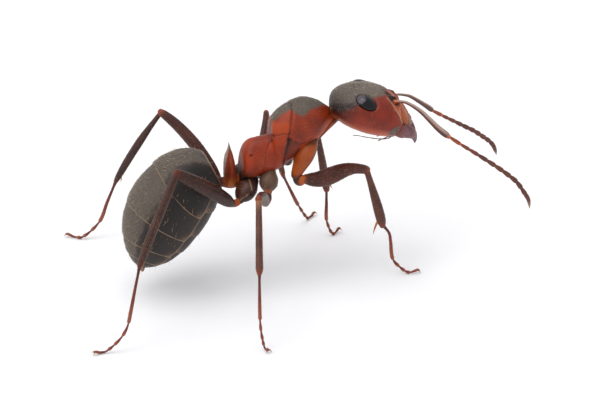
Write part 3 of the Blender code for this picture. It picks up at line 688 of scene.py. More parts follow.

# %% [markdown]
# ## Eyes and brow dots
# Each eye is an oval ball set deep in the head, with only its dome outside, and a grey highlight
# painted on the upper rear of its dome.  The three small dots on the brow are simple eyes.

# %% Domes
def dome(place, size, rings=48, points=64):
    """An oval ball in a frame given by place."""
    turn = math.tau * np.arange(points) / points
    rise = np.linspace(-0.5, 0.5, rings) * math.pi * 0.998
    grid = np.stack([
        np.cos(rise)[:, None] * np.cos(turn) * size[0],
        np.cos(rise)[:, None] * np.sin(turn) * size[1],
        np.repeat(np.sin(rise)[:, None], points, 1) * size[2],
    ], -1)
    return turned(shell(grid), place)


for side, word in ((1, "left"), (-1, "right")):
    place = HEAD_FRAME @ eye_frame(side)
    eyeball = dome(place, EYE_SIZE)
    facing = (eyeball["places"] - np.array(place.translation)) @ np.array(HEAD_FRAME.to_3x3())
    facing /= np.linalg.norm(facing, axis=1, keepdims=True) + 1e-9
    # A grey highlight painted on the upper rear of each eye
    eyeball["marks"]["bloom"] = fade(facing @ (-0.88, 0.15 * side, 0.45), 0.66, 0.90)
    keep(f"compound_eye_{word}", eyeball, EYE_BLACK, [f"eye_{word}"])

dots = []
for along, side in ((-0.30, 0.0), (-0.41, 0.085), (-0.41, -0.085)):
    nearest = np.argmin(np.hypot(x - along, y - side) + 9.0 * (z < 0))
    place = HEAD_FRAME @ Matrix.Translation(grid.reshape(-1, 3)[nearest])
    dots.append(dome(place, (0.024, 0.024, 0.016), 12, 20))
keep("brow_eyes", joined(dots), EYE_BLACK)

# %% [markdown]
# ## Face shield and jaws
# The clypeus is a thin orange shield with a keel down its middle.  Under it the two jaws close
# like blades: convex outside, thin and toothed inside, with a long pointed tip.

# %% Clypeus
grid = head_grid(CLYPEUS, 90, 120)
out = normals_of(grid)
x, y, z = np.moveaxis(grid, -1, 0)
keel = bell(y, 0.035) * (z > 0) * fade(x, 0.62, 0.75)
lip = fade(x, 1.12, 1.20)
grid = grid + out * (0.030 * keel - 0.012 * bell(x - 1.10, 0.02))[..., None]
rim = 0.5 * bell(x - 1.19, 0.02) + 0.35 * bell(x - 1.10, 0.018)
face_shield = shell(grid, warm=1.0 - 0.5 * lip, dusk=0.50 * fade(x, 0.94, 1.12),
                    seam=np.clip(rim, 0, 1), setose=(0.4 + lip) * (z > -0.02), downy=0.3)
keep("clypeus_shield", turned(face_shield, HEAD_FRAME), AMBER, ["clypeus"], coat="head")

# %% Jaws
# along, side, height, half depth, outer half thickness, inner reach of the blade
JAW = [
    (0.80, 0.44, -0.20, 0.03, 0.03, 0.03), (0.86, 0.44, -0.20, 0.15, 0.10, 0.10),
    (0.98, 0.44, -0.22, 0.18, 0.12, 0.14), (1.10, 0.41, -0.22, 0.17, 0.11, 0.24),
    (1.22, 0.34, -0.25, 0.15, 0.10, 0.28), (1.32, 0.25, -0.31, 0.12, 0.08, 0.20),
    (1.40, 0.16, -0.40, 0.09, 0.06, 0.12), (1.45, 0.09, -0.50, 0.06, 0.04, 0.06),
    (1.47, 0.05, -0.57, 0.03, 0.02, 0.02), (1.475, 0.04, -0.60, 0.004, 0.004, 0.004),
]
JAW_TEETH = 13


def jaw(side, rings=120, points=48):
    """A blade: the outer face is domed, the inner edge thin and cut into teeth."""
    share = np.linspace(0.0, 1.0, rings)
    rows = read(JAW, share)
    path = rows[:, :3] * (1, side, 1)
    way = np.gradient(path, axis=0)
    way /= np.linalg.norm(way, axis=1, keepdims=True)
    inward = np.cross(way, (0.0, 0.0, 1.0)) * side
    inward /= np.linalg.norm(inward, axis=1, keepdims=True)
    deep = np.cross(inward, way)
    turn = math.tau * np.arange(points) / points
    reach = np.where(np.cos(turn) > 0, rows[:, 5:6], rows[:, 4:5])
    teeth = (1.0 + 0.16 * np.abs(np.sin(share * math.pi * JAW_TEETH)) * fade(share, 0.30, 0.42)
             * (1 - fade(share, 0.88, 0.95)))
    edge = np.clip(np.cos(turn), 0, 1)
    reach = reach * (1 + (teeth[:, None] - 1) * edge**3)
    thin = np.where(np.cos(turn) > 0, 1.0 - 0.72 * edge**1.5, 1.0)
    grid = (path[:, None] + inward[:, None] * (reach * np.cos(turn))[..., None]
            + deep[:, None] * (rows[:, 3:4] * np.sin(turn) * thin)[..., None])
    tip = fade(share, 0.55, 0.95)[:, None]
    seam = 0.75 * tip * np.ones(points) + 0.4 * edge**4
    warm = np.repeat(0.8 * (1 - fade(share, 0.1, 0.3))[:, None], points, 1)
    sparse = np.repeat(0.4 * (1 - fade(share, 0.5, 0.7))[:, None], points, 1)
    return turned(shell(grid, seam=np.clip(seam, 0, 1), warm=warm, downy=sparse, setose=sparse), HEAD_FRAME)


for side, word in ((1, "left"), (-1, "right")):
    keep(f"jaw_{word}", jaw(side), JAW_BROWN, [f"mandible_{word}"], coat="head")

# %% [markdown]
# ## Trunk
# The shield of the pronotum can move on the trunk behind it, where mesothorax and propodeum
# have grown into one piece.  The trunk is sculpted whole, so that its outline runs on, and is
# then parted on one plane at the shoulder.  Grooves follow polylines drawn on the side view,
# and spiracles, the breathing holes, are small rimmed pits.

# %% Trunk helpers
def trunk_grid(rows, rings, points):
    """Rings between a back line and a belly line, closed to a point at both ends."""
    first, last = np.array(rows[0]), np.array(rows[-1])
    closed = []
    for row, nearby in ((first, rows[1]), (last, rows[-2])):
        middle = (row[0:2] + row[2:4]) / 2
        step = (middle - (np.array(nearby[0:2]) + np.array(nearby[2:4])) / 2) * 0.25
        closed.append((*(middle + step), *(middle + step), 0.0, 0.0))
    table = [closed[0], *rows, closed[1]]
    values = read(table, np.linspace(0.0, 1.0, rings))
    back, belly, narrowing = values[:, 0:2], values[:, 2:4], values[:, 5]
    width = np.maximum(values[:, 4], 0.003)
    up = (back - belly) / 2
    up[0], up[-1] = up[1] * 0.03, up[-2] * 0.03
    turn = math.tau * np.arange(points) / points
    middle = (back + belly) / 2
    flat = middle[:, None] + up[:, None] * np.sin(turn)[None, :, None]
    side = width[:, None] * np.cos(turn) * (1.0 - narrowing[:, None] * np.sin(turn))
    return np.stack([flat[..., 0], side, flat[..., 1]], -1)


SHOULDER = (Vector((0.505, 0.0, 4.40)), Vector((1.0, 0.0, -0.27)).normalized())
WAIST = (Vector((0.035, 0.0, 3.95)), Vector((1.0, 0.0, -0.06)).normalized())


def parted(name, one, plane, sense):
    """The plate of a whole shell on one side of a plane, with its cut closed by a sharp rim."""
    point, normal = plane
    mesh = mesh_of(name, one)
    bm = bmesh.new()
    bm.from_mesh(mesh)
    bmesh.ops.bisect_plane(bm, geom=bm.verts[:] + bm.edges[:] + bm.faces[:], dist=1e-5,
                           plane_co=point, plane_no=normal * sense, clear_outer=True)
    rim = [edge for edge in bm.edges if edge.is_boundary]
    for edge in rim:
        edge.smooth = False
    bmesh.ops.holes_fill(bm, edges=rim, sides=0)
    bmesh.ops.recalc_face_normals(bm, faces=bm.faces)
    bm.to_mesh(mesh)
    bm.free()
    return mesh


# %% Lines on the side of the trunk: along and height
LOBE_EDGE = [
    (1.62, 4.50), (1.40, 4.36), (1.22, 4.20), (1.06, 4.04), (0.92, 3.93), (0.74, 3.89), (0.58, 3.93),
    (0.46, 4.06),
]
BACK_PLATE_EDGE = [(0.03, 4.00), (0.14, 4.08), (0.30, 4.15), (0.46, 4.17)]
SIDE_FRONT_EDGE = [(0.42, 4.02), (0.37, 3.80), (0.33, 3.55), (0.31, 3.20), (0.30, 3.05)]
SIDE_REAR_EDGE = [(0.07, 3.93), (-0.02, 3.80), (-0.10, 3.66), (-0.15, 3.45), (-0.18, 3.20), (-0.14, 2.95)]
# Each groove: its line, its half width and its share of the full depth
GROOVES = (
    (LOBE_EDGE, 0.022, 1.0), (BACK_PLATE_EDGE, 0.020, 0.8), (SIDE_FRONT_EDGE, 0.020, 1.0),
    (SIDE_REAR_EDGE, 0.014, 0.6),
)
# Each breathing hole: its place and its radius
SPIRACLES = (((-0.48, 0.32, 3.60), 0.030), ((0.055, 0.24, 3.90), 0.022))

# %% Sculpt the trunk
grid = trunk_grid(TRUNK, 230, 220)
out = normals_of(grid)
x, y, z = np.moveaxis(grid, -1, 0)
mirrored = np.stack([x, np.abs(y), z], -1)
view = grid[..., ::2]
flank = fade(np.abs(y), 0.10, 0.22)
shoulder = (grid - np.array(SHOULDER[0])) @ np.array(SHOULDER[1])
waist = (grid - np.array(WAIST[0])) @ np.array(WAIST[1])
grooves, pit, rim = np.zeros_like(x), np.zeros_like(x), np.zeros_like(x)
for line, width, strength in GROOVES:
    grooves = np.maximum(grooves, strength * bell(away(view, line), width) * flank)
for spot, radius in SPIRACLES:
    near = off(mirrored, spot)
    pit = np.maximum(pit, bell(near, radius))
    rim = np.maximum(rim, bell(near - radius * 1.7, radius * 0.5))
split = bell(shoulder, 0.018) * (z > 4.02)
waist_line = bell(waist, 0.034) * fade(z, 3.80, 3.93)
gland = bell(away(view, [(-0.48, 2.98), (-0.30, 2.96)]), 0.10) * flank
lobe_height = np.interp(x, (0.46, 0.74, 1.06, 1.40, 1.62), (4.06, 3.89, 4.04, 4.36, 4.50))
below_lobe = fade(away(view, LOBE_EDGE), 0.0, 0.05) * (z < lobe_height) * fade(x, 0.34, 0.44) * flank
push = -0.024 * grooves - 0.030 * split - 0.030 * waist_line - 0.04 * pit + 0.010 * rim + 0.02 * gland
push += 0.018 * bell(away(view, [(0.22, 4.30), (0.36, 4.38)]), 0.16) * flank - 0.035 * below_lobe
push += 0.010 * bell(shoulder - 0.08, 0.05) * (z > 3.9) - 0.010 * bell(y, 0.10) * (z > 3.6) * (x < 0.0)
grid = grid + out * push[..., None]
print("trunk sculpted by", round(push.min(), 3), "to", round(push.max(), 3), "mm")

# %% Paint the trunk
patch_edge = np.interp(x, (0.02, 0.20, 0.40, 0.55, 0.68, 0.80, 0.95, 1.08, 1.22, 1.38, 1.50),
                       (0.02, 0.14, 0.20, 0.23, 0.34, 0.42, 0.41, 0.33, 0.23, 0.13, 0.00))
on_back = z > np.interp(x, (0.0, 0.5, 1.0, 1.6), (4.0, 4.30, 4.35, 4.35))
dusk = fade(patch_edge - np.abs(y), -0.13, 0.13) * on_back
bright = fade(bell(away(view, [(0.20, 4.24), (0.40, 4.30)]), 0.17), 0.2, 0.8) * (shoulder < 0) * (waist > 0)
# Shade painted on the side of the pronotum, low on the sides, low at the rear, and in the strip under the
# lobe
lobe_shade = 0.32 * fade(shoulder, 0.0, 0.10) * bell(away(view, [(0.75, 4.25), (1.05, 4.30)]), 0.34)
low_shade = fade(3.06 - z, -0.05, 0.12) * (x < 0.45)
rear_shade = 0.7 * bell(away(view, [(-0.66, 3.10), (-0.52, 2.84)]), 0.11)
strip = below_lobe * (1 - fade(x, 0.66, 0.78))
sides = 0.45 * bell(away(view, SIDE_FRONT_EDGE), 0.06) * flank
warm = np.clip(0.8 * bright + 0.9 * below_lobe * fade(x, 0.66, 0.78), 0, 1)
seam = np.clip(0.55 * grooves + 0.55 * split + 0.5 * waist_line + 0.8 * pit + lobe_shade + 0.70 * low_shade
               + rear_shade + 0.45 * strip + sides, 0, 1)
bare = np.clip(grooves + split + waist_line + pit + strip + low_shade, 0, 1)
dusty_line = bell(away(view, [(0.04, 3.86), (-0.08, 3.62), (-0.20, 3.40), (-0.34, 3.16)]), 0.035) * flank
downy = (0.14 + 0.86 * dusk + 0.9 * dusty_line) * (1 - bare)
rear_rim = bell(away(view, [(0.11, 4.40), (0.05, 4.22), (0.02, 4.02)]), 0.045)
setose = (0.22 * on_back + rear_rim + 0.35 * (x < -0.1) * (z > 3.84)
          + 0.5 * bell(away(view, LOBE_EDGE), 0.05)) * (1 - bare)
trunk = shell(grid, dusk=dusk, seam=seam, warm=warm, downy=downy, setose=setose)
COATS["trunk"] = [trunk]
for name, sense, nodes in (("pronotum_shield", -1, ["pronotum"]),
                           ("rear_trunk_armour", 1, ["mesothorax", "propodeum"])):
    keep(name, parted(name, trunk, SHOULDER, sense), TRUNK_RED, nodes)

# %% [markdown]
# ## Throat
# Two thin amber plates close the throat between the neck and the front hips.

# %% Throat
grid = trunk_grid(THROAT, 70, 90)
out = normals_of(grid)
x, y, z = np.moveaxis(grid, -1, 0)
middle_line = bell(y, 0.02) * (out[..., 2] < 0)
grid = grid - out * (0.03 * middle_line)[..., None]
collar = fade(x, 1.56, 1.76)
# Shade painted on the underside of the throat plates
underside_shade = 0.5 * fade(-out[..., 2], 0.25, 0.7)
throat = shell(grid, seam=np.clip(0.7 * middle_line + 0.8 * collar + underside_shade, 0, 1))
keep("throat_plates", throat, AMBER, ["propleura"])

# %% [markdown]
# ## Tubes for limbs
# A limb segment, and the thin stalk of the waist, is a tube round a bent path.  A fixed
# sideways direction keeps its oval from twisting, and the ends are rounded off by a few
# shrinking rings.

# %% Tube helper
def tube(path, deep, wide, sideways, points=36, dome_steps=5, **marks):
    """A closed oval tube; deep lies in the plane of the limb and wide across it."""
    path = np.asarray(path, float)
    way = np.gradient(path, axis=0)
    way /= np.linalg.norm(way, axis=1, keepdims=True)
    starts = np.linspace(1.0, 0.12, dome_steps)
    deep, wide = np.broadcast_to(deep, len(path)).copy(), np.broadcast_to(wide, len(path)).copy()
    rise = [math.sqrt(1 - share * share) for share in starts[::-1]]
    head_path = [path[0] - way[0] * deep[0] * r for r in rise]
    tail_path = [path[-1] + way[-1] * deep[-1] * r for r in rise[::-1]]
    full = np.vstack([head_path[:-1], path, tail_path[1:]])
    extra = dome_steps - 1
    ways = np.pad(way, ((extra, extra), (0, 0)), mode="edge")
    shrink = starts[::-1][:-1]
    deeps = np.concatenate([deep[0] * shrink, deep, deep[-1] * shrink[::-1]])
    wides = np.concatenate([wide[0] * shrink, wide, wide[-1] * shrink[::-1]])
    side = np.asarray(sideways, float)
    sides = side - ways * (ways @ side)[:, None]
    sides /= np.linalg.norm(sides, axis=1, keepdims=True)
    deeper = np.cross(sides, ways)
    turn = math.tau * np.arange(points) / points
    grid = (full[:, None] + sides[:, None] * (wides[:, None] * np.cos(turn))[..., None]
            + deeper[:, None] * (deeps[:, None] * np.sin(turn))[..., None])
    painted = {}
    for name, value in marks.items():
        rings = np.pad(np.broadcast_to(value, len(path)), extra, mode="edge")
        painted[name] = np.repeat(rings[:, None], points, 1)
    return shell(grid, **painted)


# %% [markdown]
# ## Waist
# The one upright scale between trunk and hind body is the mark of this ant's family.  It is
# convex in front, flat behind and thin at its crest.  A thin amber stalk runs through its foot
# and joins the trunk to the hind body.

# %% Petiole scale
# height, middle x, front half thickness, rear half thickness, half width
SCALE = [
    (2.64, -0.930, 0.03, 0.03, 0.04), (2.67, -0.930, 0.12, 0.10, 0.13),
    (2.76, -0.940, 0.17, 0.15, 0.20), (2.93, -0.960, 0.195, 0.130, 0.28),
    (3.16, -0.975, 0.170, 0.100, 0.34), (3.38, -0.970, 0.132, 0.080, 0.32),
    (3.58, -0.964, 0.085, 0.048, 0.18), (3.74, -0.964, 0.035, 0.020, 0.07),
    (3.87, -0.966, 0.009, 0.007, 0.010),
]
height, middle, front, rear, width = read(SCALE, np.linspace(0, 1, 110)).T
turn = math.tau * np.arange(96) / 96
thick = np.where(np.cos(turn) > 0, front[:, None], rear[:, None])
x, y = middle[:, None] + thick * np.cos(turn), width[:, None] * np.sin(turn)
z = np.broadcast_to(height[:, None], x.shape)
tip = fade(z, 3.56, 3.82)
# A pale grey sheen painted high on the left of the rear face
rear_sheen = fade(-np.cos(turn), 0.0, 0.45) * fade(y, -0.11, 0.03) * fade(z, 2.98, 3.32)
scale = shell(np.stack([x, y, z], -1), seam=0.25 * tip, dusk=0.9 * tip, pale=0.85 * rear_sheen,
              warm=0.95 * (1 - fade(z, 2.82, 3.10)), downy=0.25, setose=0.5 * tip)
keep("petiole_scale", scale, SCALE_RED, ["petiole"], coat="trunk")

# %% Petiole stalk
# x, y, z and half thickness
STALK = [
    (-0.58, 0.0, 2.92, 0.12), (-0.68, 0.0, 2.83, 0.125), (-0.80, 0.0, 2.77, 0.135),
    (-0.93, 0.0, 2.76, 0.145), (-1.08, 0.0, 2.79, 0.130), (-1.24, 0.0, 2.84, 0.10),
    (-1.36, 0.0, 2.87, 0.09),
]
way = read(STALK, np.linspace(0, 1, 60))
dark_ends = np.interp(way[:, 0], (-1.22, -1.10, -0.70, -0.60), (0.9, 0.0, 0.0, 0.8))
stalk = tube(way[:, :3], way[:, 3], way[:, 3] * 1.1, (0, 1, 0), seam=dark_ends)
keep("petiole_stalk", stalk, AMBER)

# %% [markdown]
# ## Hind body
# Five plates, each slipping under the rear edge of the one before.  Above, the back plates
# wrap well down the sides and end in a thin pale hem; below, the belly plates lie a little
# deeper, so the hem of the back plates shows as a line along the flank.

# %% Gaster plates
HEM_TOP = (0.255, 0.600, 0.835, 0.935)
HEM_SIDE = (0.385, 0.600, 0.775, 0.900)
HEM_BELLY = (0.330, 0.540, 0.715, 0.860)
FLANK_TURN = math.radians(28.0)
FRONT_WAY = np.array((-0.858, 0.0, 0.514))
FRONT_FACE = 1.40
HEM_DROP = 0.030
# How far the rolled hem reaches past the plate's end, and how far it drops
ROLLED_HEM = [(0.0015, -0.006), (0.0020, -0.016), (0.0005, -0.030), (-0.010, -0.040), (-0.020, -0.060)]
LAST_PLATE = 4


def hem_share(number, turns):
    """Share of the length where plate number ends, round the body; the back is at -90 degrees."""
    if number < 0:
        return np.full_like(turns, -0.02)
    if number == LAST_PLATE:
        return np.full_like(turns, 1.0)
    below = np.arcsin(np.clip(np.sin(turns), -1, 1))
    blend = fade(below, -math.pi / 2, FLANK_TURN)
    back = HEM_TOP[number] + (HEM_SIDE[number] - HEM_TOP[number]) * blend
    share = np.where(below < FLANK_TURN, back, HEM_BELLY[number])
    for _ in range(3):
        share = (np.roll(share, 1) + 2 * share + np.roll(share, -1)) / 4
    return share


def gaster_plate(number, points=300, rings=90):
    """One plate, which starts under the one before and ends in a rolled hem."""
    first, last = number == 0, number == LAST_PLATE
    turns = math.tau * np.arange(points) / points
    below = np.arcsin(np.clip(np.sin(turns), -1, 1))
    start, end = hem_share(number - 1, turns), hem_share(number, turns)
    along = np.linspace(0.0, 1.0, rings)[:, None]
    begin = start - (-0.02 if first else 0.035)
    share = begin + (end - begin) * along
    belly = fade(below, FLANK_TURN - 0.01, FLANK_TURN + 0.06)
    lift = -HEM_DROP * (1 - along**0.6) * (not first) - 0.020 * belly
    if not last:
        share = np.vstack([share, [end + reach for reach, _ in ROLLED_HEM]])
        lift = np.vstack([lift, [lift[-1] + drop for _, drop in ROLLED_HEM]])
    fine = read(GASTER, np.linspace(0.0, 1.0, 400))
    height, width, shift = (np.interp(share, fine[:, 0], fine[:, k]) for k in (1, 2, 3))
    nose = np.sqrt(np.clip(share / 0.02, 0.02, 1.0))
    tail = np.sqrt(np.clip((1.0 - share) / 0.02, 0.05, 1.0))
    height, width = (height + lift) * nose * tail, (width + lift) * nose * tail
    local = np.stack([(share - 0.5) * GASTER_LENGTH, width * np.cos(turns),
                      0.03 - shift + height * np.sin(turns)], -1)
    # The front face is pressed nearly flat towards the waist
    ahead = local @ FRONT_WAY - FRONT_FACE
    local = local - (0.8 * ahead * fade(ahead, -0.04, 0.17))[..., None] * FRONT_WAY

    # Pale hem, thin bright flank line, pale lower corner and pale edge of the front face
    hem_near = (end - share) * GASTER_LENGTH - 0.004
    uneven = 0.72 + 0.28 * np.sin(turns * 17 + number) * np.sin(turns * 7 + 2 * number)
    hem_mark = (0.85 - 0.45 * belly) * uneven * bell(hem_near, 0.009) * (not last)
    hem_mark = hem_mark * (1 - 0.85 * bell(below + 0.52, 0.16) * first)
    flank_mark = bell(below - FLANK_TURN, 0.012) * fade(share, 0.10, 0.20)
    corner = 0.30 * bell(below - FLANK_TURN, 0.16) * bell(hem_near, 0.14) * (not last)
    face_edge = 0.50 * bell(ahead - 0.045, 0.016) * first
    pale = np.clip(hem_mark + 0.55 * flank_mark + corner + face_edge, 0, 1)

    # Dusty back, bare dark sides, and shade painted on the sides and belly
    within = np.clip((share - start) / (end - start + 1e-6), 0, 1)
    outward = np.abs(local[..., 1]) - np.interp(share, (0.0, 0.14, 0.30), (0.40, 0.42, 0.60))
    if first:
        back_side = (1 - fade(outward, -0.14, 0.13)) * (1 - fade(below, -0.1, 0.3))
    else:
        back_side = 1 - fade(below, -0.90, -0.50)
    dusk = back_side * (0.80 + 0.20 * fade(within, 0.02, 0.45)) * (fade(share, -0.02, 0.04) if first else 1)
    shade = (0.95 * fade(outward, -0.04, 0.16) * (1 - fade(below, 0.1, 0.6)) * first
             + 0.75 * bell(below + 0.42, 0.30) * (number in (1, 2)) + 0.50 * bell(below, 0.45) * (not first))
    seam = np.clip(0.30 * fade(below, 0.3, 1.2) + shade, 0, 1) * np.ones_like(share)

    # Down lies on the back, and bristles stand along the hem and high on the front
    shown = (share > start) & (share < end)
    downy = (0.03 + back_side * (0.20 + 0.74 * fade(within, 0.08, 0.60))) * shown
    setose = (0.03 + 0.07 * back_side + (0.5 + 0.4 * back_side) * bell(hem_near - 0.09, 0.06) * (not last)
              + 0.5 * last) * shown
    if first:
        setose = setose + 2.2 * bell(share - 0.10, 0.07) * fade(-below, 0.6, 1.1)
    plate = shell(local, dusk=dusk, pale=pale, seam=seam, downy=downy, setose=setose)
    return turned(plate, GASTER_FRAME)


for number in range(LAST_PLATE + 1):
    name = f"gaster_plate_{number + 1}"
    keep(name, gaster_plate(number), DUSKY, [f"gaster_{number + 1}"], coat="gaster")

# %% Nozzle at the tip
# past the end of the hind body, and how far under its axis
NOZZLE = ((-0.12, 0.24), (0.06, 0.33))
root, tip = (GASTER_FRAME @ Vector((0.5 * GASTER_LENGTH + past, 0.0, drop)) for past, drop in NOZZLE)
deep = np.interp(np.linspace(0, 1, 13), (0, 0.5, 1), (0.10, 0.065, 0.045))
nozzle = tube(arch(root, tip, (0, 0, 0), 12), deep, 0.055, (0, 1, 0), pale=np.linspace(0.1, 0.55, 13),
              setose=4.0)
keep("gaster_nozzle", nozzle, DUSKY, coat="gaster")

# %% [markdown]
# ## Legs
# Each leg is a hip (coxa), a small knuckle (trochanter), a thick thigh, a slender shin and a
# foot of five short joints that ends in two claws.  The thigh is deepest in its first half,
# and the shin widens below the knee and carries a spur at its end.  Joints show redder
# cuticle.

# %% Leg sizes
# share of the length, half depth, half width
COXA = {
    "fore": [
        (0.0, 0.22, 0.19), (0.22, 0.295, 0.23), (0.5, 0.295, 0.22), (0.8, 0.20, 0.17), (1.0, 0.15, 0.13),
    ],
    "mid": [
        (0.0, 0.20, 0.18), (0.3, 0.255, 0.23), (0.65, 0.25, 0.22), (0.88, 0.19, 0.16), (1.0, 0.13, 0.11),
    ],
    "hind": [
        (0.0, 0.20, 0.18), (0.3, 0.265, 0.24), (0.65, 0.26, 0.23), (0.88, 0.19, 0.16), (1.0, 0.12, 0.10),
    ],
}
KNUCKLE = {
    "fore": [(0.0, 0.11, 0.10), (0.4, 0.145, 0.13), (0.8, 0.13, 0.11), (1.0, 0.10, 0.09)],
    "mid": [(0.0, 0.08, 0.08), (0.5, 0.12, 0.12), (0.85, 0.11, 0.10), (1.0, 0.085, 0.08)],
    "hind": [(0.0, 0.07, 0.07), (0.4, 0.09, 0.09), (0.8, 0.09, 0.09), (1.0, 0.075, 0.075)],
}
THIGH = {
    "fore": [
        (0.0, 0.09, 0.08), (0.06, 0.13, 0.11), (0.16, 0.175, 0.14), (0.38, 0.220, 0.16),
        (0.58, 0.198, 0.15), (0.80, 0.138, 0.115), (0.93, 0.120, 0.10), (1.0, 0.105, 0.09),
    ],
    "mid": [
        (0.0, 0.08, 0.08), (0.06, 0.11, 0.10), (0.14, 0.135, 0.11), (0.35, 0.160, 0.13),
        (0.6, 0.145, 0.12), (0.88, 0.110, 0.095), (1.0, 0.10, 0.09),
    ],
    "hind": [
        (0.0, 0.08, 0.08), (0.06, 0.13, 0.10), (0.14, 0.165, 0.125), (0.35, 0.190, 0.145),
        (0.6, 0.178, 0.135), (0.85, 0.148, 0.115), (0.95, 0.125, 0.10), (1.0, 0.105, 0.09),
    ],
}
SHIN = {
    "fore": [
        (0.0, 0.080, 0.075), (0.15, 0.078, 0.072), (0.32, 0.090, 0.080), (0.52, 0.110, 0.092),
        (0.76, 0.128, 0.10), (0.92, 0.120, 0.10), (1.0, 0.085, 0.08),
    ],
    "mid": [
        (0.0, 0.085, 0.08), (0.12, 0.080, 0.075), (0.40, 0.090, 0.082), (0.75, 0.095, 0.088),
        (0.94, 0.098, 0.092), (1.0, 0.070, 0.07),
    ],
    "hind": [
        (0.0, 0.10, 0.085), (0.10, 0.100, 0.085), (0.40, 0.115, 0.095), (0.75, 0.112, 0.090),
        (0.93, 0.092, 0.08), (1.0, 0.068, 0.062),
    ],
}
# How far the knuckle sags, and shares of the foot's length where its five joints meet
KNUCKLE_DIP = {"fore": -0.11, "mid": -0.02, "hind": -0.02}
FOOT_JOINTS = (0.0, 0.55, 0.69, 0.80, 0.875, 1.0)
CLAW_LENGTH = 0.125
# Lowest height of a foot's middle line, and the gap between its sole and the floor
FOOT_RISE = 0.048
SOLE_GAP = 0.004
# Spurs: length, lean to the inside, bend back, distance from the shin's middle, radius
SHORT_SPUR = (0.17, 0.45, 0.35, 0.09, 0.015)
SPUR_SIZES = {"fore": (0.31, 0.75, 0.12, 0.13, 0.030), "mid": SHORT_SPUR, "hind": SHORT_SPUR}

# %% Leg finishes
HIP_FINISH = {"fore": (AMBER, "amber"), "mid": (COXA_BROWN, "leg"), "hind": (COXA_BROWN, "leg")}
# Marks from 0 to 1: dark seam, pale and warm
HIP_SEAM = {"fore": 0.0, "mid": 0.0, "hind": 0.45}
HIP_PALE = {"fore": 0.0, "mid": 0.10, "hind": 0.0}
HIP_TIP_WARM = {"fore": 0.0, "mid": 0.5, "hind": 0.5}
KNUCKLE_WARM = {"fore": (0.0, 1.0), "mid": (0.0, 0.5), "hind": (0.9, 0.9)}
THIGH_SEAM = {"fore": 0.0, "mid": 0.15, "hind": 0.65}
SHIN_SEAM = {"fore": 0.0, "mid": 0.0, "hind": 0.6}
SHIN_TOP_PALE = {"fore": 0.0, "mid": 0.45, "hind": 0.0}

# %% Limb helpers
def profile(table, shares):
    """Half depth and half width along a limb, smooth between the rows of its table."""
    table = np.array(table)
    fine = read(table, np.linspace(0, 1, 200))
    return np.interp(shares, fine[:, 0], fine[:, 1]), np.interp(shares, fine[:, 0], fine[:, 2])


def segment(path, table, sideways, ends=(0.06, 0.08), slim=1.0, **marks):
    """One limb segment, with warm joints at its ends."""
    shares = np.linspace(0, 1, len(path))
    deep, wide = np.array(profile(table, shares)) * slim
    warm = np.maximum(0.9 * (1 - fade(shares, 0.0, ends[0])), 0.8 * fade(shares, 1 - ends[1], 1.0))
    marks.setdefault("warm", warm)
    marks.setdefault("downy", 1.0)
    marks.setdefault("setose", 1.0)
    return tube(path, deep, wide, sideways, **marks)


def curved_cone(root, way, bend, length, radius, steps=10, points=10, **marks):
    """A spur or claw that bends towards bend."""
    share = np.linspace(0, 1, steps)[:, None]
    way, bend = np.asarray(way, float), np.asarray(bend, float)
    path = np.asarray(root, float) + way * length * share + bend * length * share**2
    size = radius * (1 - 0.92 * share[:, 0] ** 1.4)
    across = np.cross(way, bend + (0.001, 0.002, 0.0))
    return tube(path, size, size, across, points=points, dome_steps=3, **marks)


# %% Feet
def foot_parts(way, sideways):
    """Five foot joints on a smooth way, then two claws and the pad between them."""
    last = len(way) - 1
    parts = []
    for number, (start, end) in enumerate(zip(FOOT_JOINTS, FOOT_JOINTS[1:])):
        first = number == 0
        path = way[round(start * last) + (not first):round(end * last)]
        local = np.linspace(0, 1, len(path))
        root, tip = (0.034, 0.049) if first else (0.024, 0.043 if number < 4 else 0.036)
        size = root + (tip - root) * fade(local, 0.1, 0.95)
        if first:
            size = size + 0.016 * (1 - fade(local, 0.0, 0.16))
        size = np.minimum(size, np.maximum(path[:, 2] - SOLE_GAP, 0.02))
        dark = 0.55 * (1 - fade(local, 0.0, 0.5)) if first else 0.0
        parts.append(tube(path, size, size * 0.92, sideways, points=20, dome_steps=4,
                          warm=0.75 * fade(local, 0.55, 0.95), seam=dark, downy=1.0, setose=0.8))
    end, ahead = way[-1], way[-1] - way[-7]
    ahead = ahead / np.linalg.norm(ahead)
    across = np.cross(ahead, (0, 0, 1.0))
    across /= np.linalg.norm(across)
    fall = (0, 0, -(end[2] - 0.012) / CLAW_LENGTH)
    claws = [
        curved_cone(end - ahead * 0.02 + across * sense * 0.014, ahead * 0.72 + across * sense * 0.45, fall,
                    CLAW_LENGTH, 0.018)
        for sense in (1, -1)
    ]
    pad = Matrix.Translation(Vector(end + ahead * 0.02 - (0, 0, 0.010)))
    claws.append(dome(pad, (0.030, 0.026, 0.018), 10, 16))
    return parts, claws


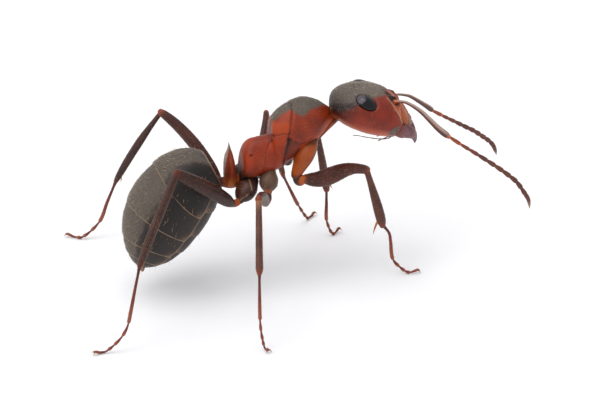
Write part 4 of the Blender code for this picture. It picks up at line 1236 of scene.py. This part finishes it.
# %% Hips
def hip_shell(kind, hip, coxa):
    """The coxa, with dark and pale zones laid out round its middle line."""
    sideways = np.cross(coxa - hip, (0, 1.0, 0))
    sideways /= np.linalg.norm(sideways)
    warm = HIP_TIP_WARM[kind] * fade(np.linspace(0, 1, 36), 0.92, 1.0)
    one = segment(arch(hip, coxa, (0, 0, 0), 35), COXA[kind], sideways, points=48, warm=warm, downy=0.3,
                  setose=0.3, seam=HIP_SEAM[kind], pale=HIP_PALE[kind])
    x, y, z = one["places"].T
    middle = [np.interp(z, (coxa[2], hip[2]), (coxa[k], hip[k])) for k in (0, 1)]
    ahead, outward = x - middle[0], (y - middle[1]) * np.sign(hip[1])
    if kind == "fore":
        # Shade painted on the inner side and at the top of the front hip, where it meets the body, with a
        # dark lower end and a dark front edge
        ends = 0.7 * (1 - fade(z, 3.02, 3.12)) + 0.8 * fade(z, 3.76, 3.88)
        dark = 0.75 * fade(ahead, 0.12, 0.20) + 0.7 * fade(-outward, 0.0, 0.10) + ends
        one["marks"].update(setose=0.2 + 7.0 * fade(ahead, 0.14, 0.22), seam=np.clip(dark, 0, 0.8))
    if kind == "hind":
        # A pale glint painted as a highlight along the outer rear edge of the hind hip
        outside = fade(outward, 0.0, 0.06)
        one["marks"].update(pale=0.50 * bell(-ahead - 0.085, 0.013) * outside,
                            warm=0.14 * fade(-ahead, 0.09, 0.15) * outside)
    return one


# %% Whole legs
def build_leg(name, *joints):
    """All pieces of one leg."""
    kind = name.split("_")[0]
    hip, coxa, root, knee, ankle = (np.array(joint, float) for joint in joints[:5])
    foot, bow = joints[5:]
    plane = np.cross(knee - root, ankle - knee)
    plane /= np.linalg.norm(plane)
    material, slot = HIP_FINISH[kind]
    keep(f"hip_{name}", hip_shell(kind, hip, coxa), material, [f"coxa_{name}"], coat="legs")
    low, high = KNUCKLE_WARM[kind]
    knuckle = segment(arch(coxa, root, (0, 0, KNUCKLE_DIP[kind]), 15), KNUCKLE[kind], plane,
                      warm=low + (high - low) * fade(np.linspace(0, 1, 16), 0.55, 0.85))
    keep(f"knuckle_{name}", knuckle, COXA_BROWN, [f"trochanter_{name}"])
    shares = np.linspace(0, 1, 60)
    thigh_path = arch(root, knee, bow, 59)
    thigh_path[:, 2] += THIGH_SWAY[kind] * np.sin(math.tau * shares)
    slim, thigh_seam, shin_bow = SLIM.get(name, 1.0), THIGH_SEAM[kind], (0, 0, 0.05)
    if name == "hind_left":
        thigh_seam, shin_bow = 0.10, (-0.025, 0, 0.05)
    thigh = segment(thigh_path, THIGH[kind], plane, (0.06, 0.05), slim, points=48, seam=thigh_seam,
                    setose=0.5)
    keep(f"thigh_{name}", thigh, LEG_BROWN, [f"femur_{name}"], coat="legs")
    if name == "hind_left":
        slim = slim * (0.70 + 0.30 * fade(shares, 0.05, 0.50))
    shin_path = arch(knee, ankle, shin_bow, 59)
    shin = segment(shin_path, SHIN[kind], plane, (0.10, 0.06), slim, points=44, seam=SHIN_SEAM[kind],
                   pale=SHIN_TOP_PALE[kind] * (1 - fade(shares, 0.0, 0.22)))
    fall = (shin_path[-1] - shin_path[-6]) / np.linalg.norm(shin_path[-1] - shin_path[-6])
    inner = np.cross(plane, fall)
    if inner[2] > 0:
        inner = -inner
    length, reach, bend, stand, radius = SPUR_SIZES[kind]
    spur = curved_cone(shin_path[-5] + inner * stand, fall * 0.85 + inner * reach, -inner * bend, length,
                       radius, warm=0.2)
    keep(f"spur_{name}", spur, SPUR)
    keep(f"shin_{name}", shin, SHIN_BROWN, [f"tibia_{name}"], coat="legs")
    way = even([ankle, *foot], 110)
    way[:, 2] = np.maximum(way[:, 2], FOOT_RISE)
    parts, claws = foot_parts(way, np.cross(fall, (0, 0.3, 1.0)))
    keep(f"foot_{name}", joined(parts), TARSUS_RED, [f"tarsus_{name}"], coat="feet")
    keep(f"claws_{name}", joined(claws), CLAW)


for leg_name, joints in LEGS.items():
    build_leg(leg_name, *joints)

# %% [markdown]
# ## Feelers
# A feeler bends at an elbow: first one long curved shaft, then a whip of eleven beads.  The
# first two beads are the slimmest, the first is the warmest, and the last one is long and
# pointed.

# %% Build a feeler
# Share of each bead in the whip, and its radius
BEADS = (1.30, 0.95, 1.02, 1.04, 0.92, 0.92, 0.90, 0.84, 0.80, 0.80, 1.45)
BEAD_SIZES = (0.050, 0.047, 0.052, 0.056, 0.060, 0.062, 0.063, 0.063, 0.062, 0.060, 0.056)
# share of the length, half depth, half width
SHAFT_SIZES = [(0.0, 0.036, 0.036), (0.04, 0.046, 0.044), (0.10, 0.036, 0.036), (0.35, 0.050, 0.048),
               (0.70, 0.070, 0.064), (0.93, 0.084, 0.074), (1.0, 0.062, 0.058)]
SHAFT_SLIM = {"left": 0.80, "right": 1.0}


def build_feeler(word, shaft_way, whip_way):
    """The shaft with the ball at its root, and the whip with its beads."""
    shaft_path = even(shaft_way, 90)
    sideways = np.cross(shaft_path[-1] - shaft_path[0], (0, 0, 1.0))
    shares = np.linspace(0, 1, 91)
    warm = np.maximum(0.95 * (1 - fade(shares, 0.0, 0.14)), 0.9 * fade(shares, 0.965, 1.0))
    shaft = segment(shaft_path, SHAFT_SIZES, sideways, slim=SHAFT_SLIM[word], warm=warm, points=32,
                    setose=0.2)
    # A highlight painted along the top of the shaft, and shade painted under it
    rows = shaft["places"][:-2].reshape(-1, 32, 3)[..., 2]
    high = (rows - rows.mean(1, keepdims=True)) / (np.ptp(rows, axis=1)[:, None] / 2 + 1e-9)
    middle = 1 - np.abs(np.linspace(-1, 1, len(rows)))[:, None] ** 6
    shaft["marks"]["pale"] = np.append(0.75 * fade(high, 0.05, 0.75) * middle, [0.0, 0.0])
    shaft["marks"]["seam"] = np.append(0.55 * fade(-high, 0.1, 0.8) * middle, [0.0, 0.0])
    ball = dome(Matrix.Translation(Vector(shaft_path[0])), (0.062, 0.062, 0.062), 16, 24)
    ball["marks"]["warm"] = np.ones(len(ball["places"]))
    keep(f"feeler_shaft_{word}", joined([shaft, ball]), FEELER_BROWN, [f"scape_{word}"],
         coat="feelers")
    way = even(whip_way, 400)
    joints = np.concatenate([[0], np.cumsum(BEADS)]) / sum(BEADS)
    beads = []
    for number, (start, end) in enumerate(zip(joints, joints[1:])):
        # A small gap before and after each bead makes the waist between two beads
        steps = np.linspace(round((start + 0.002) * 400), round((end - 0.004) * 400), 20)
        path = way[steps.round().astype(int)]
        last = number == len(BEADS) - 1
        local = np.linspace(0, 1, 20)
        size = BEAD_SIZES[number] * (0.66 + 0.34 * np.sin(np.clip(local / 0.75, 0, 1) * math.pi / 2))
        if last:
            size = BEAD_SIZES[number] * (1 - 0.80 * local**2.2)
        else:
            size = size * (1 - 0.20 * fade(local, 0.88, 1.0))
        glow = 0.40 + 0.60 * fade(local, 0.80, 0.95) if number == 0 else 0.15 * (number < 3)
        pale = 0.65 * fade(local, 0.3, 1.0) * last
        beads.append(tube(path, size, size, sideways, points=24, dome_steps=4, warm=glow, pale=pale,
                          downy=1.0))
    keep(f"feeler_whip_{word}", joined(beads), FEELER_BROWN,
         [f"flagellum_lower_{word}", f"flagellum_upper_{word}"], coat="feelers")


for word, ways in FEELERS.items():
    build_feeler(word, *ways)

# %% [markdown]
# ## Under the mouth
# Below the jaws lie the lip and the two side pieces of the mouth, and from them hang two pairs
# of palps, the short jointed feelers that test food.

# %% Lip and palps
lobes = [
    dome(HEAD_FRAME @ Matrix.Translation((0.70, y_side, -0.40)), size, 24, 32)
    for y_side, size in ((0.0, (0.30, 0.15, 0.16)), (0.17, (0.27, 0.10, 0.14)), (-0.17, (0.27, 0.10, 0.14)))
]
for lobe in lobes:
    lobe["marks"]["seam"] = np.full(len(lobe["places"]), 0.25)
keep("mouth_lobes", joined(lobes), HEAD_RED)
PALP_WAYS = [
    [(0.86, 0.22, -0.42), (0.74, 0.27, -0.55), (0.50, 0.29, -0.61), (0.22, 0.29, -0.635),
     (-0.02, 0.28, -0.65), (-0.14, 0.27, -0.69)],
    [(0.84, 0.10, -0.46), (0.74, 0.12, -0.58), (0.62, 0.14, -0.66), (0.54, 0.15, -0.72)],
]
palps = []
for side in (1, -1):
    for way_points, joint_count in zip(PALP_WAYS, (5, 3)):
        way = even(np.array(way_points) * (1, side, 1), joint_count * 9)
        way = np.array([HEAD_FRAME @ Vector(point) for point in way])
        for number in range(joint_count):
            path = way[number * 9:number * 9 + 9]
            swell = 0.75 + 0.25 * np.sin(np.linspace(0.2, 1, 9) * math.pi * 0.75)
            size = (0.017 - 0.0015 * number) * swell
            palps.append(tube(path, size, size, (0.2, 1, 0.1), points=10, dome_steps=3, pale=0.25))
keep("palps", joined(palps), FEELER_BROWN)

# %% [markdown]
# ## Hairs by Geometry Nodes
# An ant wears two coats.  Down is short hair that lies flat, densest on the dusky plates, and
# bristles are few, long and upright, with rows of them along the rear hems of the hind body.
# One node tree grows both.  It scatters points over a skin by a painted mark, turns a hair to
# the skin's lie at each point, and realizes the copies, so that the export keeps them.

# %% One hair
def hair_shape(name, lean, bend, radius):
    """A closed hair one unit long that leaves the skin at lean and bends over by bend."""
    share = np.linspace(0.0, 1.0, 4)
    angle = np.radians(lean - bend * share[:3])
    path = np.vstack([(0.0, 0.0), np.cumsum(np.stack([np.cos(angle), np.sin(angle)], -1) / 3, axis=0)])
    turn = math.tau * np.arange(3) / 3
    size = radius * (1 - 0.85 * share)
    up = np.radians(lean - bend * share)
    grid = np.stack([
        path[:, :1] - np.sin(up)[:, None] * size[:, None] * np.cos(turn),
        size[:, None] * np.sin(turn),
        path[:, 1:] + np.cos(up)[:, None] * size[:, None] * np.cos(turn) - 0.02,
    ], -1)[:3 if bend < 20 else 4]
    mesh = mesh_of(name, shell(grid))
    mesh.uv_layers[0].name = "strand"
    mesh.attributes.remove(mesh.attributes["lie"])
    return bpy.data.objects.new(name, mesh)


FLAT_HAIR = hair_shape("flat_hair", 26.0, 30.0, 0.060)
UPRIGHT_HAIR = hair_shape("upright_hair", 74.0, 34.0, 0.034)

print("a flat hair has", len(FLAT_HAIR.data.polygons), "faces, an upright one",
      len(UPRIGHT_HAIR.data.polygons))

# %% The coat's node tree
SOCKETS = {}
# Width of a hair's patch on the unwrap of its skin
PATCH_SIZE = 0.003


def coat_tree():
    """A tree with named inputs that turns a skin into its coat."""
    tree = bpy.data.node_groups.new("coat_of_hairs", "GeometryNodeTree")
    kinds = {
        "Skin": "Geometry", "Hair": "Object", "Cover mark": "String", "Hairs per square mm": "Float",
        "Shortest mm": "Float", "Longest mm": "Float", "Stray": "Float", "Seed": "Int",
        "Material": "Material",
    }
    for label, kind in kinds.items():
        socket = tree.interface.new_socket(label, in_out="INPUT", socket_type="NodeSocket" + kind)
        SOCKETS[label] = socket.identifier
    tree.interface.new_socket("Coat", in_out="OUTPUT", socket_type="NodeSocketGeometry")
    given = add(tree, "NodeGroupInput").outputs
    # Scatter the roots by the painted mark, each at least about half a mean gap from the next
    cover = add(tree, "GeometryNodeInputNamedAttribute", {"Name": given["Cover mark"]},
                data_type="FLOAT").outputs[0]
    gap = add(tree, "ShaderNodeMath", {0: given["Hairs per square mm"], 1: -0.5},
              operation="POWER").outputs[0]
    apart = add(tree, "ShaderNodeMath", {0: gap, 1: 0.55}, operation="MULTIPLY").outputs[0]
    roots = add(tree, "GeometryNodeDistributePointsOnFaces", {
        "Mesh": given["Skin"], "Distance Min": apart, "Density Max": given["Hairs per square mm"],
        "Density Factor": cover, "Seed": given["Seed"]}, distribute_method="POISSON").outputs
    unwrap = add(tree, "GeometryNodeInputNamedAttribute", {"Name": "Unwrap"},
                 data_type="FLOAT_VECTOR").outputs[0]
    rooted = add(tree, "GeometryNodeStoreNamedAttribute",
                 {"Geometry": roots["Points"], "Name": "root", "Value": unwrap},
                 data_type="FLOAT_VECTOR").outputs[0]
    # Stand each hair on the skin, turn it to the lie, and let it stray a little
    lie = add(tree, "GeometryNodeInputNamedAttribute", {"Name": "lie"}, data_type="FLOAT_VECTOR").outputs[0]
    upright = add(tree, "FunctionNodeAlignRotationToVector", {"Vector": roots["Normal"]},
                  axis="Z").outputs[0]
    along = add(tree, "FunctionNodeAlignRotationToVector", {"Rotation": upright, "Vector": lie},
                axis="X", pivot_axis="Z").outputs[0]
    most = add(tree, "ShaderNodeCombineXYZ", dict.fromkeys(range(3), given["Stray"])).outputs[0]
    least = add(tree, "ShaderNodeVectorMath", {0: most, 1: (-1.0, -0.5, -1.0)},
                operation="MULTIPLY").outputs[0]
    wild = add(tree, "FunctionNodeRandomValue", {0: least, 1: most, "Seed": given["Seed"]},
               data_type="FLOAT_VECTOR").outputs[0]
    spin = add(tree, "FunctionNodeEulerToRotation", {0: wild}).outputs[0]
    pose = add(tree, "FunctionNodeRotateRotation", {"Rotation": along, "Rotate By": spin},
               rotation_space="LOCAL").outputs[0]
    length = add(tree, "FunctionNodeRandomValue", {2: given["Shortest mm"], 3: given["Longest mm"],
                                                   "Seed": given["Seed"]}, data_type="FLOAT").outputs[1]
    hair_one = add(tree, "GeometryNodeObjectInfo", {"Object": given["Hair"]}).outputs["Geometry"]
    copies = add(tree, "GeometryNodeInstanceOnPoints", {
        "Points": rooted, "Instance": hair_one, "Rotation": pose, "Scale": length}).outputs[0]
    solid = add(tree, "GeometryNodeRealizeInstances", {"Geometry": copies}).outputs[0]
    # Each hair is a small patch of the unwrap at its root's place, for the export's colours
    strand = add(tree, "GeometryNodeInputNamedAttribute", {"Name": "strand"},
                 data_type="FLOAT_VECTOR").outputs[0]
    root = add(tree, "GeometryNodeInputNamedAttribute", {"Name": "root"},
               data_type="FLOAT_VECTOR").outputs[0]
    middle = add(tree, "ShaderNodeVectorMath", {0: strand, 1: (0.5, 0.5, 0.0)},
                 operation="SUBTRACT").outputs[0]
    patch = add(tree, "ShaderNodeVectorMath", {0: middle, 1: (PATCH_SIZE,) * 3, 2: root},
                operation="MULTIPLY_ADD").outputs[0]
    mapped = add(tree, "GeometryNodeStoreNamedAttribute",
                 {"Geometry": solid, "Name": "OFBake", "Value": patch},
                 data_type="FLOAT2", domain="CORNER").outputs[0]
    smooth = add(tree, "GeometryNodeSetShadeSmooth", {"Geometry": mapped}).outputs[0]
    dyed = add(tree, "GeometryNodeSetMaterial",
               {"Geometry": smooth, "Material": given["Material"]}).outputs[0]
    add(tree, "NodeGroupOutput", {"Coat": dyed})
    return tree


COAT_TREE = coat_tree()
print(COAT_TREE.name, "has", len(COAT_TREE.nodes), "nodes and", len(SOCKETS), "inputs")

# %% Grow the coats
def grow(name, region, shape, cover, density, lengths, stray, material, seed):
    """Grow one coat on all the shells of a region and keep it as a plain mesh."""
    host = bpy.data.objects.new("host", mesh_of("host", joined(COATS[region])))
    bpy.context.scene.collection.objects.link(host)
    modifier = host.modifiers.new("coat", "NODES")
    modifier.node_group = COAT_TREE
    values = {
        "Hair": shape, "Cover mark": cover, "Hairs per square mm": density, "Shortest mm": lengths[0],
        "Longest mm": lengths[1], "Stray": stray, "Seed": seed, "Material": material,
    }
    for label, value in values.items():
        modifier[SOCKETS[label]] = value
    bpy.context.view_layer.update()
    mesh = bpy.data.meshes.new_from_object(host.evaluated_get(bpy.context.evaluated_depsgraph_get()))
    host.modifiers.remove(modifier)
    bpy.data.objects.remove(host)
    for extra in {"root", "Unwrap", "lie", "strand"} & set(mesh.attributes.keys()):
        mesh.attributes.remove(mesh.attributes[extra])
    mesh.name = name
    keep(name, mesh, material)


# Each coat: hairs per square mm, shortest and longest, slot, seed
DOWN_COATS = {
    "head": (800.0, (0.032, 0.054), "red", 11), "trunk": (620.0, (0.038, 0.064), "red", 12),
    "gaster": (700.0, (0.050, 0.080), "dusky", 13), "legs": (200.0, (0.040, 0.062), "leg", 14),
    "feet": (420.0, (0.030, 0.050), "leg", 15), "feelers": (700.0, (0.022, 0.040), "feeler", 16),
}
BRISTLE_COATS = {
    "head": (34.0, (0.07, 0.13), "red", 21), "trunk": (44.0, (0.07, 0.13), "red", 22),
    "gaster": (42.0, (0.09, 0.16), "dusky", 23), "legs": (26.0, (0.05, 0.09), "leg", 24),
    "feet": (60.0, (0.04, 0.07), "leg", 25),
}
for name, coats, shape, cover, stray, material in (
        ("down", DOWN_COATS, FLAT_HAIR, "downy", 0.30, DOWN),
        ("bristles", BRISTLE_COATS, UPRIGHT_HAIR, "setose", 0.35, BRISTLE)):
    for region, (density, lengths, slot, seed) in coats.items():
        grow(f"{name}_{region}", region, shape, cover, density, lengths, stray, material, seed)

# %% [markdown]
# ## Floor, light and camera
# White paper under the ant, a white room, and two broad soft lamps: a key light that comes
# from behind the ant on its right, and a top light.  The camera looks down on the ant's right
# side at 28 degrees through a long lens.

# %% Floor
floor_mesh = bpy.data.meshes.new("studio_floor")
floor_mesh.from_pydata([(-1.5, -1.5, 0), (1.5, -1.5, 0), (1.5, 1.5, 0), (-1.5, 1.5, 0)], [], [(0, 1, 2, 3)])
floor_mesh.materials.append(PAPER)
floor = bpy.data.objects.new("studio_floor", floor_mesh)
bpy.context.scene.collection.objects.link(floor)
print("floor:", [round(value, 2) for value in floor.dimensions], "m")

# %% Room and lamps
world = bpy.data.worlds.new("white_room")
world.use_nodes = True
world.node_tree.nodes["Background"].inputs["Color"].default_value = linear("#fbfcff")
world.node_tree.nodes["Background"].inputs["Strength"].default_value = 0.82
bpy.context.scene.world = world
bpy.context.scene.view_settings.view_transform = "Standard"


def sun(name, way, strength, angle):
    """A lamp whose light travels along way."""
    lamp = bpy.data.lights.new(name, "SUN")
    lamp.energy = strength
    lamp.angle = math.radians(angle)
    carrier = bpy.data.objects.new(name, lamp)
    carrier.rotation_mode = "QUATERNION"
    carrier.rotation_quaternion = Vector(way).to_track_quat("-Z", "Y")
    bpy.context.scene.collection.objects.link(carrier)


sun("key_light", (0.97, 0.36, -1.0), 0.85, 42.0)
sun("top_light", (0.15, -0.05, -1.0), 0.85, 38.0)
print("lamps:", [lamp.name for lamp in bpy.data.lights])

# %% Camera
AZIMUTH, ELEVATION = math.radians(-15.0), math.radians(28.0)
TARGET = Vector((1.02, 0.63, 1.59))
DISTANCE = 130.0
VIEW_WIDTH = 15.0
level = math.cos(ELEVATION)
back = Vector((math.sin(AZIMUTH) * level, -math.cos(AZIMUTH) * level, math.sin(ELEVATION)))
right = Vector((math.cos(AZIMUTH), math.sin(AZIMUTH), 0.0))
lens = bpy.data.cameras.new("camera")
lens.sensor_width = 36.0
lens.lens = lens.sensor_width * DISTANCE / VIEW_WIDTH
lens.clip_start, lens.clip_end = 0.01, 10.0
camera = bpy.data.objects.new("camera", lens)
camera.location = TO_ROW @ (TARGET + back * DISTANCE)
camera.rotation_euler = Matrix((right, back.cross(right), back)).transposed().to_euler()
bpy.context.scene.collection.objects.link(camera)
bpy.context.scene.camera = camera
print("lens", round(lens.lens, 1), "mm, camera at", [round(v, 4) for v in camera.location])
